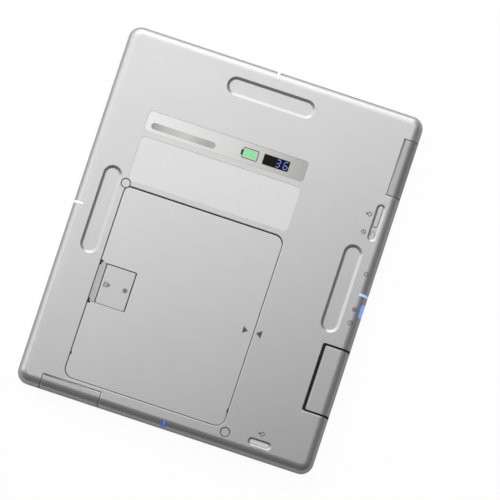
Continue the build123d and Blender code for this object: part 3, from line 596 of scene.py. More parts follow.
def mottle(material, shader, colour, size, amount):
    """Lets the colour vary a little over grains of the size."""
    stops = [(0.3, shaded(colour, -amount)), (0.7, shaded(colour, amount))]
    link(material, ramp(material, noise(material, size), stops), shader.inputs["Base Color"])


def uneven_gloss(material, shader, roughness, size, amount):
    """Lets the roughness vary over grains of the size."""
    spread = ranged(material, noise(material, size), roughness - amount, roughness + amount)
    link(material, spread, shader.inputs["Roughness"])


def grain(material, shader, size, height, detail=2.0, stretch=(1.0, 1.0, 1.0)):
    """Raises fine grains of the size and height on the surface."""
    grains = noise(material, size, detail, stretch)
    bump = node(material, "ShaderNodeBump", Strength=1.0, Distance=height, Height=grains)
    link(material, bump.outputs["Normal"], shader.inputs["Normal"])


FIELDS = "colour roughness metallic mottle grain_size grain_height specular"
Finish = namedtuple("Finish", FIELDS, defaults=[0.5])

# Moulded, painted or bare surfaces with fine grain and slight mottling
PLAIN_FINISHES = {
    "adhesive": Finish((0.05, 0.05, 0.052), 0.75, 0.0, 0.15, 0.5 * MM, 0.02 * MM),
    "foam": Finish((0.07, 0.07, 0.075), 0.95, 0.0, 0.2, 0.3 * MM, 0.06 * MM),
    "scintillator": Finish((0.86, 0.86, 0.8), 0.7, 0.0, 0.02, 0.2 * MM, 0.004 * MM),
    "brass": Finish((0.66, 0.48, 0.2), 0.3, 1.0, 0.06, 0.4 * MM, 0.003 * MM),
    "gold_contact": Finish((0.85, 0.6, 0.2), 0.22, 1.0, 0.04, 0.6 * MM, 0.002 * MM),
    "steel": Finish((0.55, 0.55, 0.56), 0.3, 1.0, 0.05, 0.4 * MM, 0.003 * MM),
    "black_chip": Finish((0.02, 0.02, 0.022), 0.5, 0.0, 0.15, 0.15 * MM, 0.006 * MM),
    "amber_flex": Finish((0.5, 0.22, 0.03), 0.3, 0.0, 0.1, 1.5 * MM, 0.004 * MM),
    "black_plastic": Finish((0.018, 0.018, 0.02), 0.55, 0.0, 0.12, 0.35 * MM, 0.012 * MM),
    "dark_plastic": Finish((0.055, 0.056, 0.06), 0.5, 0.0, 0.1, 0.35 * MM, 0.012 * MM),
    "seal_rubber": Finish((0.016, 0.016, 0.018), 0.62, 0.0, 0.2, 0.3 * MM, 0.008 * MM, 0.15),
    # Painted shade for the foot of the round caps' gaps.
    "cap_seal": Finish((0.09, 0.09, 0.092), 0.6, 0.0, 0.1, 0.3 * MM, 0.008 * MM),
    "latch_grey": Finish(grey(0.5), 0.5, 0.0, 0.04, 0.3 * MM, 0.008 * MM),
    "light_off": Finish((0.5, 0.5, 0.51), 0.25, 0.0, 0.02, 1.0 * MM, 0.002 * MM),
    "label_film": Finish(grey(0.675), 0.5, 0.0, 0.012, 0.25 * MM, 0.003 * MM),
    "infrared_plastic": Finish((0.72, 0.72, 0.73), 0.25, 0.0, 0.02, 1.0 * MM, 0.002 * MM),
    "print_black": Finish((0.02, 0.02, 0.021), 0.5, 0.0, 0.08, 0.3 * MM, 0.002 * MM),
    "print_dark": Finish((0.07, 0.07, 0.072), 0.6, 0.0, 0.08, 0.3 * MM, 0.002 * MM),
    "print_grey": Finish((0.17, 0.17, 0.173), 0.6, 0.0, 0.06, 0.3 * MM, 0.002 * MM),
}


def plain_finish(name):
    """One of the plain finishes."""
    values = PLAIN_FINISHES[name]
    base = (values.colour, values.roughness, values.metallic, values.specular)
    material, shader = new_material(name, *base)
    mottle(material, shader, values.colour, 12 * values.grain_size, values.mottle)
    uneven_gloss(material, shader, values.roughness, 20 * values.grain_size, 0.05)
    grain(material, shader, values.grain_size, values.grain_height)
    return material


def setting(key):
    """The value of a setting, whichever group it belongs to."""
    for name, group in SETTINGS.items():
        if key in group.__annotations__:
            return getattr(getattr(bpy.context.scene, name), key)
    raise KeyError(key)


# Satin silver paints: the setting of their colour, and how metallic they are
SATIN_PAINTS = {
    "silver_paint": ("paint_colour", 0.65),
    "cover_silver": ("paint_colour", 0.65),
    "pack_silver": ("pack_colour", 0.65),
    "latch_silver": ("small_part_colour", 0.65),
    "knob_grey": ("small_part_colour", 0.65),
    "cap_grey": ("small_part_colour", 0.65),
    "silver_window_plastic": ("end_window_colour", 0.65),
    "grey_window_plastic": ("side_window_colour", 0.6),
}


def satin_paint(name):
    """Satin silver paint: darker where seen aslant, partly the flakes' flop and partly painted shade
    for dark outlines at the edges; a faint orange peel and unevenness.
    """
    key, metallic = SATIN_PAINTS[name]
    colour = setting(key)
    roughness = 0.4
    material, shader = new_material(name, colour, roughness, metallic, 0.4)
    flakes = noise(material, 0.16 * MM, 1.0)
    broad = noise(material, 35 * MM, 2.0)
    aslant = node(material, "ShaderNodeLayerWeight", Blend=0.5).outputs["Facing"]
    fine = ramp(material, flakes, [(0.25, shaded(colour, -0.06)), (0.75, shaded(colour, 0.06))])
    wide = ramp(material, broad, [(0.2, (0.975, 0.975, 0.98)), (0.8, grey(1.0))])
    # Where the surface is seen aslant the base colour darkens: partly the flakes' flop, partly painted
    # shade that draws dark outlines round the edges.
    aslant_flop_and_shade = ramp(material, aslant, [(0.3, grey(1.0)), (0.65, grey(0.62))])
    tones = multiplied(material, multiplied(material, fine, wide), aslant_flop_and_shade)
    link(material, tones, shader.inputs["Base Color"])
    uneven_gloss(material, shader, roughness, 4 * MM, 0.03)
    grain(material, shader, 0.45 * MM, 0.004 * MM)
    return material


def carbon_plate():
    """The imaging face: a satin carbon weave with the pale frame that shows the sensor's area."""
    material, shader = new_material("carbon_plate", (0.03, 0.031, 0.034), 0.35)

    def maths(operation, *values):
        """A math node of this material."""
        return calculated(material, operation, *values)

    place = place_parts(material)
    tow = 2.0 * MM
    steps = [maths("FLOOR", maths("DIVIDE", place[axis], tow)) for axis in "XY"]
    weave = maths("PINGPONG", maths("ADD", *steps), 1.0)
    tones = ramp(material, weave, [(0.0, (0.022, 0.023, 0.025)), (1.0, (0.045, 0.047, 0.052))])
    glass = span("sensor_glass")
    line = 0.4 * MM
    mark = 8 * MM
    shown = 0.0
    for axis, half, other, other_half in (
        ("X", glass.x[1], "Y", glass.y[1]),
        ("Y", glass.y[1], "X", glass.x[1]),
    ):
        across = maths("ABSOLUTE", place[axis])
        along = maths("ABSOLUTE", place[other])
        near = maths("LESS_THAN", maths("ABSOLUTE", maths("SUBTRACT", across, half)), line)
        inside = maths("LESS_THAN", along, other_half + line)
        centre = maths("LESS_THAN", across, line)
        beyond = maths("GREATER_THAN", along, other_half - mark)
        for drawn in (maths("MULTIPLY", near, inside), maths("MULTIPLY", centre, beyond)):
            shown = maths("MAXIMUM", drawn, shown)
    pale = (0.6, 0.6, 0.61, 1.0)
    printed = node(material, "ShaderNodeMix", data_type="RGBA", Factor=shown, A=tones, B=pale)
    link(material, printed.outputs["Result"], shader.inputs["Base Color"])
    grain(material, shader, 0.5 * MM, 0.01 * MM, 1.0, (1.0, 0.25, 1.0))
    return material


def green_board():
    """A circuit board: dark green lacquer with fine copper tracks under it."""
    material, shader = new_material("green_board", (0.01, 0.12, 0.05), 0.35)
    tracks = {
        "Vector": object_place(material),
        "Scale": 1.0,
        "Color1": (0.008, 0.1, 0.04, 1.0),
        "Color2": (0.014, 0.14, 0.06, 1.0),
        "Mortar": (0.03, 0.2, 0.08, 1.0),
        "Brick Width": 5.0 * MM,
        "Row Height": 1.2 * MM,
        "Mortar Size": 0.12 * MM,
    }
    texture = node(material, "ShaderNodeTexBrick", **tracks).outputs
    link(material, texture["Color"], shader.inputs["Base Color"])
    raised = 0.03 * MM
    bump = node(material, "ShaderNodeBump", Strength=1.0, Distance=raised, Height=texture["Fac"])
    link(material, bump.outputs["Normal"], shader.inputs["Normal"])
    return material


def sensor_glass():
    """The sensor's glass: dark and glossy, with the faint rows of its pixels."""
    material, shader = new_material("sensor_glass", (0.06, 0.08, 0.09), 0.08)
    mottle(material, shader, (0.06, 0.08, 0.09), 8 * MM, 0.15)
    grain(material, shader, 0.15 * MM, 0.001 * MM, 0.0, (1.0, 20.0, 1.0))
    return material


def bare_metal():
    """Bare sheet metal with brushing along Y."""
    material, shader = new_material("bare_metal", (0.55, 0.56, 0.57), 0.4, 0.9)
    mottle(material, shader, (0.55, 0.56, 0.57), 5 * MM, 0.06)
    grain(material, shader, 0.12 * MM, 0.006 * MM, 2.0, (1.0, 40.0, 1.0))
    return material


def cell_pouch():
    """The soft foil pouch of the cells, a little wavy."""
    material, shader = new_material("cell_pouch", (0.5, 0.51, 0.53), 0.28, 0.9)
    uneven_gloss(material, shader, 0.28, 6 * MM, 0.06)
    grain(material, shader, 7 * MM, 0.12 * MM)
    return material


def faded(name, x, stops, roughness):
    """A print or film whose colour changes along X, over the pair x."""
    material, shader = new_material(name, stops[0][1], roughness)
    along = ranged(material, place_parts(material)["X"], 0.0, 1.0, *x)
    link(material, ramp(material, along, stops), shader.inputs["Base Color"])
    grain(material, shader, 0.4 * MM, 0.002 * MM)
    return material


def film():
    """The display strip's film: near white at its left, grey at its right."""
    stops = [
        (0.0, setting("film_left_colour")),
        (0.55, setting("film_middle_colour")),
        (1.0, setting("film_right_colour")),
    ]
    return faded("film", span("display_panel").x, stops, 0.3)


def bar_grey():
    """The print of the strip's bar: darker grey at its ends."""
    stops = [
        (0.0, grey(0.25)),
        (0.2, (0.44, 0.44, 0.43)),
        (0.55, (0.52, 0.52, 0.51)),
        (0.88, (0.34, 0.34, 0.335)),
        (1.0, (0.38, 0.38, 0.375)),
    ]
    return faded("bar_grey", BAR_X, stops, 0.5)


def display_black():
    """The display's smoked cover, glossy black."""
    material, shader = new_material("display_black", grey(0.006), 0.1, specular=0.04)
    uneven_gloss(material, shader, 0.1, 3 * MM, 0.02)
    grain(material, shader, 2 * MM, 0.001 * MM)
    return material


# Lit lenses: tint, the settings of their glow at the side and at the back face, how much the first one
# is darkened as painted shade, and the setting of their strength. The whiter glow of the lenses on the
# sides that face the lamps is a painted highlight.
LitLens = namedtuple("LitLens", "tint side shade back strength")
LIT_LENSES = {
    "light_blue": LitLens((0.05, 0.12, 0.45), "blue_glow", -0.4, "blue_glow", "blue_strength"),
    "light_soft": LitLens((0.15, 0.25, 0.6), "soft_glow", -0.1, "soft_glow", "blue_strength"),
    "light_pale": LitLens((0.3, 0.4, 0.7), "soft_glow", 0.0, "white_glow", "blue_strength"),
    "light_white": LitLens((0.6, 0.7, 0.9), "white_glow", 0.0, "white_glow", "white_strength"),
    "light_green": LitLens((0.12, 0.5, 0.2), "level_glow", 0.0, "level_glow", "level_strength"),
    "digit_blue": LitLens((0.1, 0.15, 0.5), "digit_glow", 0.0, "digit_glow", "digit_strength"),
}


def lit_lens(name):
    """A lit plastic lens: tinted, satin, its glow changing from the side to the back face; a darker
    side is painted shade and a whiter glow is a painted highlight.
    """
    values = LIT_LENSES[name]
    material, shader = new_material(name, values.tint, 0.3)
    shader.inputs["Emission Strength"].default_value = setting(values.strength)
    side_height = 6 * MM
    height = ranged(material, place_parts(material)["Z"], 0.0, 1.0, DEPTH - side_height, DEPTH)
    side_glow_with_shade = shaded(setting(values.side), values.shade)
    rise = ramp(material, height, [(0.0, side_glow_with_shade), (1.0, setting(values.back))])
    spots = ramp(material, noise(material, 1.2 * MM), [(0.3, grey(0.9)), (0.7, grey(1.0))])
    link(material, multiplied(material, rise, spots), shader.inputs["Emission Color"])
    grain(material, shader, 0.3 * MM, 0.003 * MM)
    return material


SPECIAL_FINISHES = (
    bar_grey,
    carbon_plate,
    green_board,
    sensor_glass,
    bare_metal,
    cell_pouch,
    film,
    display_black,
)


def finish(name):
    """The material of that name, made when it is first asked for."""
    ready = bpy.data.materials.get(name)
    if ready and ready.get("detector_finish"):
        return ready
    if name in PLAIN_FINISHES:
        made = plain_finish(name)
    elif name in SATIN_PAINTS:
        made = satin_paint(name)
    elif name in LIT_LENSES:
        made = lit_lens(name)
    else:
        made = {maker.__name__: maker for maker in SPECIAL_FINISHES}[name]()
    made["detector_finish"] = True
    return made


# Sizes and colours that a user may change

def length(name, description, default):
    """A length that a user may change."""
    return bpy.props.FloatProperty(
        name=name, description=description, default=default, min=0.0, precision=5, unit="LENGTH"
    )


def colour(name, description, default):
    """A colour that a user may change."""
    return bpy.props.FloatVectorProperty(
        name=name, description=description, default=default, min=0.0, max=1.0, subtype="COLOR"
    )


def glow(name, description, default):
    """A strength of light that a user may change."""
    return bpy.props.FloatProperty(name=name, description=description, default=default, min=0.0)


class DetectorCasingSettings(bpy.types.PropertyGroup):
    """The casing's rounding, its grips and its paint."""

    corner_radius: length("Corner radius", "Corners of the casing in plan", 11 * MM)
    back_edge_radius: length("Back edge radius", "Rounding between sides and back", 8.3 * MM)
    front_edge_radius: length("Front edge radius", "Rounding between sides and front", 3.0 * MM)
    window_edge: length("Window edge", "Width of the slant along windows and cover", 1.2 * MM)
    window_edge_drop: length("Window edge drop", "Depth of that slant", 0.74 * MM)
    opening_edge: length("Opening edge", "Rounding of the edges of openings", 0.3 * MM)
    bay_edge: length("Bay edge", "Rounding of the edge round the battery pack", 0.8 * MM)
    grip_length: length("Grip length", "Length of a grip at its mouth", 80 * MM)
    grip_width: length("Grip width", "Width of a grip at its mouth", 16.6 * MM)
    grip_inset: length("Grip inset", "From the casing's edge to a grip's middle line", 24.5 * MM)
    grip_depth: length("Grip depth", "Depth of a grip", 1.65 * MM)
    grip_slope: length("Grip slope", "Width of a grip's sloped wall", 2.3 * MM)
    grip_lip: length("Grip lip", "Rounding of a grip's mouth", 0.9 * MM)
    grip_floor_edge: length("Grip floor edge", "Rounding round a grip's floor", 0.9 * MM)
    pack_sink: length("Pack sink", "How far the pack's face lies under the casing's", 0.25 * MM)
    paint_colour: colour("Paint", "Paint of the casing and the connector's cover", grey(0.46))
    pack_colour: colour("Pack", "Paint of the battery pack", grey(0.48))
    small_part_colour: colour("Small parts", "Paint of the latch, knob, button and caps", grey(0.46))


class DetectorWindowSettings(bpy.types.PropertyGroup):
    """The windows and lights on the casing's edge."""

    seam: length("Seam", "Extra seam left round each window", 0.1 * MM)
    window_corner: length("Window corner", "Corners of the antenna windows", 0.6 * MM)
    side_window_colour: colour("Side window", "Antenna window on the long side", grey(0.36))
    end_window_colour: colour("End window", "Antenna window on the short side", grey(0.45))
    blue_glow: colour("Blue glow", "Light of the blue lamps", (0.08, 0.23, 0.9))
    soft_glow: colour("Soft glow", "Light of the status lamp", (0.2, 0.38, 0.85))
    # The glow of the top and left lights, whitened as a painted highlight.
    white_glow: colour("White glow", "Light of the white lamps", (0.5, 0.68, 1.0))
    blue_strength: glow("Blue strength", "Strength of the blue lamps", 0.7)
    # Strength of that whitened glow of painted highlight.
    white_strength: glow("White strength", "Strength of the white lamps", 0.5)


class DetectorDisplaySettings(bpy.types.PropertyGroup):
    """The display strip."""

    number: bpy.props.IntProperty(
        name="Number", description="The two digits that the display shows", default=36, min=10, max=99
    )
    digit_height: length("Digit height", "Height of the display's digits", 7.0 * MM)
    film_left_colour: colour("Film left", "The film at its left end", (0.72, 0.72, 0.71))
    film_middle_colour: colour("Film middle", "The film at its middle", (0.6, 0.6, 0.58))
    film_right_colour: colour("Film right", "The film at its right end", (0.36, 0.355, 0.33))
    level_glow: colour("Level glow", "Light of the battery level", (0.08, 0.6, 0.18))
    digit_glow: colour("Digit glow", "Light of the digits", (0.14, 0.22, 0.85))
    level_strength: glow("Level strength", "Strength of the battery level's light", 0.5)
    digit_strength: glow("Digit strength", "Strength of the digits' light", 0.42)


class DetectorStageSettings(bpy.types.PropertyGroup):
    """The camera, the lamps and the floor."""

    camera_distance: length("Camera distance", "From the camera to the detector", 8.0)
    lens: bpy.props.FloatProperty(
        name="Lens", description="Focal length of the camera in millimetres", default=665.28
    )
    overhead_power: glow("Overhead power", "Power of the large soft lamp overhead", 15.5)
    top_power: glow("Top power", "Power of the soft lamp beyond the display's end", 18.0)
    left_power: glow("Left power", "Power of the soft lamp on the left", 10.0)
    world_strength: glow("World strength", "Light from all round", 0.11)
    floor_colour: colour("Floor", "The floor's colour for the light it throws back", grey(0.2))


# The pieces

def recess_profile(low, slope, floor_edge, lip, steps=4):
    """The profile of a recess with sloped walls and soft edges, down to the height low."""
    points = [(-2 * slope, low), (-slope, low), (0.0, DEPTH), (3 * lip, DEPTH)]
    profile = softened(points, [floor_edge, lip], steps)[:-1]
    return profile + [(profile[-1][0], ABOVE)]


def grip_outlines(settings):
    """The mouths of the three grips: at the top, the left and the right."""
    half_length = settings.grip_length / 2
    half_width = settings.grip_width / 2
    inset = settings.grip_inset
    return [
        Outline(0.0, TOP - inset, half_length, half_width, half_width),
        Outline(-RIGHT + inset, 0.0, half_width, half_length, half_width),
        Outline(RIGHT - inset, 0.0, half_width, half_length, half_width),
    ]


def add_grips(casing, settings):
    """Joins a cup to the casing under each grip, then takes out the hollow with soft edges."""
    floor = DEPTH - settings.grip_depth
    cup = [(WALL - settings.grip_slope, floor - WALL), (WALL, DEPTH - WALL / 2)]
    for outline in grip_outlines(settings):
        join(casing, lofted("cup", outline, cup, 12))
    edges = (settings.grip_floor_edge, settings.grip_lip)
    hollow = recess_profile(floor, settings.grip_slope, *edges, 8)
    for outline in grip_outlines(settings):
        cut(casing, lofted("hollow", outline, hollow, 16))


def switch_face():
    """The width of the mode switch's knob at its top."""
    knob = span("switch_slider")
    left_slope = 0.85 * MM
    right_slope = 1.75 * MM
    return (knob.x[0] + left_slope, knob.x[1] - right_slope)


def switch_middle():
    """The middle line of the mode switch's knob, along Y."""
    return middle(switch_face())


def switch_outline():
    """The recess that the mode switch's knob slides in, and the slot of its stem."""
    knob = span("switch_slider")
    rim = 1.2 * MM
    right_rim = 0.6 * MM
    x = (knob.x[0] - rim, knob.x[1] + right_rim)
    y = (knob.y[0] - SWITCH_TRAVEL - rim, knob.y[1] + rim)
    slot_half = 0.55 * MM
    slot_end = 1.5 * MM
    slot_x = about(switch_middle(), slot_half)
    slot_y = grown((SWITCH_STEM - SWITCH_TRAVEL, SWITCH_STEM), slot_end)
    return between(x, y, RIGHT), between(slot_x, slot_y)


def pack_outline(top_gap=0.0, reach=0.0):
    """The battery pack in plan; its corner beside a round cap is tighter than the others."""
    plain = between(grown(PACK.x, reach), (PACK.y[0] - reach, PACK.y[1] - top_gap))
    wide = 8 * MM
    tight = 5 * MM
    return plain._replace(radius=(wide, tight, wide, wide))


class DETECTOR_OT_casing(bpy.types.Operator):
    """Builds the rear casing: a thin tub with a rounded back edge, grips, openings and recesses"""

    bl_idname = "detector.casing"
    bl_label = "Rear Casing"

    def execute(self, context):
        settings = context.scene.detector_casing
        casing = casing_form("casing_shell", settings)
        cut(casing, inner_form("inside", settings))
        self.open_front(casing)
        add_grips(casing, settings)
        self.open_pack_bay(casing, settings)
        self.open_edges(casing, settings, context.scene.detector_windows)
        self.sink_display(casing, settings)
        self.sink_switch(casing)
        self.sink_infrared_window(casing)
        self.sink_caps(casing)
        dressed(casing, "silver_paint", "panel", "rear_casing")
        return {"FINISHED"}

    def open_front(self, casing):
        """Opens the front inside its ledge, and makes room for the front plate and its tape."""
        ledge_reach = 2.5 * MM
        ledge_corner = 3.5 * MM
        opening = footprint(span("front_plate"), -ledge_reach)
        cut(casing, block("ledge", *opening, (0.0, LEDGE_TOP + WALL), ledge_corner))
        tape_gap = 0.15 * MM
        rebate_corner = 6 * MM
        rebate = footprint(span("front_tape"), tape_gap)
        cut(casing, block("rebate", *rebate, (-MM, LEDGE_BOTTOM), rebate_corner))

    def open_pack_bay(self, casing, settings):
        """Cuts the battery pack's opening, with a rounded upper edge."""
        gap = 0.5 * MM
        profile = [(gap + grow, z) for grow, z in mouth(CEILING - MM, DEPTH, settings.bay_edge)]
        cut(casing, lofted("bay_opening", pack_outline(), profile, 12))

    def open_edges(self, casing, settings, windows):
        """Cuts the openings on the casing's edge: windows, lights, connector and button."""
        for node_name in (*ANTENNA_WINDOWS, *EDGE_LIGHTS):
            cut(casing, window_hole(node_name, windows))
        door = span("connector_cover_frame")
        gap = 0.3 * MM
        sill = 0.8 * MM
        x = (door.x[0] - gap, door.x[1] + 3 * DOOR_CORNER)
        z = (span("connector_bay").z[0] + sill, ABOVE)
        cut(casing, block("door_opening", x, grown(door.y, gap), z, DOOR_CORNER + gap))
        slanted = (*ANTENNA_WINDOWS, "connector_cover_frame")
        eased(casing, settings, *[footprint(span(name), MM) for name in slanted])
        button_gap = 0.2 * MM
        inner_end = -2 * MM
        outer_end = MM
        cut(casing, button_solid("button_hole", button_gap, inner_end, outer_end))

    def sink_display(self, casing, settings):
        """Sinks the display strip and the memo label, and opens the holes of lens and bars."""
        gap = 0.1 * MM
        for node_name, corner in (("display_panel", STRIP_CORNER), ("memo_label", MEMO_CORNER)):
            place = span(node_name)
            outline = between(*footprint(place, gap), corner)
            profile = mouth(place.z[0], DEPTH, settings.opening_edge / 2)
            cut(casing, lofted("recess", outline, profile, 8))
        for place in (span("display_lens"), *level_bars()):
            cut(casing, block("hole", *footprint(place, gap), (CEILING - MM, DEPTH)))

    def sink_switch(self, casing):
        """Thickens the wall under the mode switch, and cuts its recess and its stem's slot."""
        recess, slot = switch_outline()
        floor = DEPTH - SWITCH_DEPTH
        thickness = 1.2 * MM
        under = floor - thickness
        thick = [(thickness, under), (thickness, DEPTH - WALL / 2)]
        join(casing, lofted("switch_floor", recess, thick, 8))
        slope = 1.6 * MM
        edge = 0.5 * MM
        cut(casing, lofted("switch_recess", recess, recess_profile(floor, slope, edge, edge), 12))
        cut(casing, lofted("switch_slot", slot, straight(under - MM, DEPTH)))

    def sink_infrared_window(self, casing):
        """Cuts the infrared window's recess and the hole under its lens."""
        depth = 1.1 * MM
        floor = DEPTH - depth
        slope = 1.4 * MM
        edge = 0.5 * MM
        profile = recess_profile(floor, slope, edge, edge)
        cut(casing, lofted("infrared_recess", infrared_outline(), profile, 12))
        gap = 0.12 * MM
        hole = between(*footprint(span("infrared_window"), gap), RIGHT)
        cut(casing, lofted("infrared_hole", hole, straight(CEILING - MM, DEPTH), 8))

    def sink_caps(self, casing):
        """Cuts the two caps' seats."""
        gap = 0.15 * MM
        edge = 0.4 * MM
        seat = [(gap + grow, z) for grow, z in mouth(DEPTH - MM, DEPTH, edge)]
        for outline in cap_outlines():
            cut(casing, lofted("cap_seat", outline, seat, 10))


def level_bars():
    """Where the three bars of the battery level lie."""
    bars = span("battery_level_lights")
    width = 2.7 * MM
    pitch = (bars.x[1] - bars.x[0] - width) / 2
    lefts = [bars.x[0] + n * pitch for n in range(3)]
    return [bars._replace(x=(left, left + width)) for left in lefts]


def infrared_outline():
    """The recess of the infrared window."""
    lens = span("infrared_window")
    margin_x = 1.87 * MM
    margin_y = 1.52 * MM
    return between(grown(lens.x, margin_x), grown(lens.y, margin_y), RIGHT)


def cap_outlines():
    """The two round caps, in opposite corners of their node."""
    caps = span("round_caps")
    radius = 4.15 * MM
    return [
        disc(caps.x[0] + radius, caps.y[1] - radius, radius),
        disc(caps.x[1] - radius, caps.y[0] + radius, radius),
    ]


def button_solid(name, gap, low, high, edge=0.0):
    """The power button's pill, grown by gap, between low and high from the casing's right face."""
    button = span("power_button")
    flange = 0.8 * MM
    half_y = (button.y[1] - button.y[0]) / 2 - flange + gap
    half_z = (button.z[1] - button.z[0]) / 2 - flange + gap
    outline = Outline(0.0, 0.0, half_y, half_z, half_z)
    out_of_wall = (
        (0, 0, 1, RIGHT),
        (1, 0, 0, middle(button.y)),
        (0, 1, 0, middle(button.z)),
        (0, 0, 0, 1),
    )
    profile = plug(low, high, edge) if edge else straight(low, high)
    return lofted(name, outline, profile, 10, Matrix(out_of_wall))


class DETECTOR_OT_windows(bpy.types.Operator):
    """Builds the antenna windows and the lights, which follow the casing's rounded edge"""

    bl_idname = "detector.windows"
    bl_label = "Edge Windows and Lights"

    def execute(self, context):
        settings = context.scene.detector_casing
        windows = context.scene.detector_windows
        for node_name, slot in (ANTENNA_WINDOWS | EDGE_LIGHTS).items():
            region = block("region", *window_region(node_name, windows))
            window = skin_piece(node_name + "_lens", settings, region)
            if node_name in ANTENNA_WINDOWS:
                eased(window, settings, footprint(span(node_name), MM))
            dressed(window, slot, "panel", node_name)
        return {"FINISHED"}


class Print:
    """Thin raised marks on a surface, whose height is a number or a function of X and Y"""

    def __init__(self, surface):
        """Starts a print without marks."""
        self.surface = surface
        self.builder = bmesh.new()

    def corner(self, place, lift):
        """A new vertex over a place in plan, lifted off the surface."""
        x, y = place
        height = self.surface(x, y) if callable(self.surface) else self.surface
        return self.builder.verts.new((x, y, height + lift))

    def line(self, points, width=LINE, closed=False):
        """A line along the points in plan."""
        count = len(points)
        rings = []
        for index in range(count):
            here = Vector(points[index])
            before = Vector(points[index - 1]) if closed or index else here
            after = Vector(points[(index + 1) % count]) if closed or index + 1 < count else here
            into = (here - before).normalized() if here != before else (after - here).normalized()
            out = (after - here).normalized() if after != here else into
            across = Vector((-(into + out).y, (into + out).x)).normalized()
            lean = max(across.dot(Vector((-out.y, out.x))), 0.5)
            left = here + across * width / 2 / lean
            right = here - across * width / 2 / lean
            section = ((left, 0.0), (right, 0.0), (right, INK), (left, INK))
            rings.append([self.corner(place, lift) for place, lift in section])
        for first, second in zip(rings, rings[1:] + rings[:1] if closed else rings[1:]):
            bridged(self.builder, first, second)
        if not closed:
            capped(self.builder, rings[0], rings[-1])

    def patch(self, points):
        """A patch inside the points in plan."""
        lower, upper = [[self.corner(place, lift) for place in points] for lift in (0.0, INK)]
        capped(self.builder, lower, upper)
        bridged(self.builder, lower, upper)

    def piece(self, name, slot, body):
        """The finished piece with all the marks."""
        return dressed(new_object(name, self.builder), slot, body)


def arc(x, y, radius, start=0.0, end=360.0, steps=24):
    """Points along an arc in plan, angles in degrees."""
    whole = end - start >= 360
    angles = [math.radians(start + (end - start) * n / steps) for n in range(steps + (not whole))]
    return [(x + radius * math.cos(a), y + radius * math.sin(a)) for a in angles]


def at(points, x, y, size=1.0):
    """Points in millimetres about a place in plan, in metres."""
    return [(x + size * a * MM, y + size * b * MM) for a, b in points]


SEGMENTS = {
    "top": ((0.0, 1.0), (1.0, 1.0)),
    "upper_left": ((0.0, 0.5), (0.0, 1.0)),
    "upper_right": ((1.0, 0.5), (1.0, 1.0)),
    "middle": ((0.0, 0.5), (1.0, 0.5)),
    "lower_left": ((0.0, 0.0), (0.0, 0.5)),
    "lower_right": ((1.0, 0.0), (1.0, 0.5)),
    "bottom": ((0.0, 0.0), (1.0, 0.0)),
}

# The segments that stay dark for each digit
DARK_SEGMENTS = {
    0: ("middle",),
    1: ("top", "upper_left", "middle", "lower_left", "bottom"),
    2: ("upper_left", "lower_right"),
    3: ("upper_left", "lower_left"),
    4: ("top", "lower_left", "bottom"),
    5: ("upper_right", "lower_left"),
    6: ("upper_right",),
    7: ("upper_left", "middle", "lower_left", "bottom"),
    8: (),
    9: ("lower_left",),
}


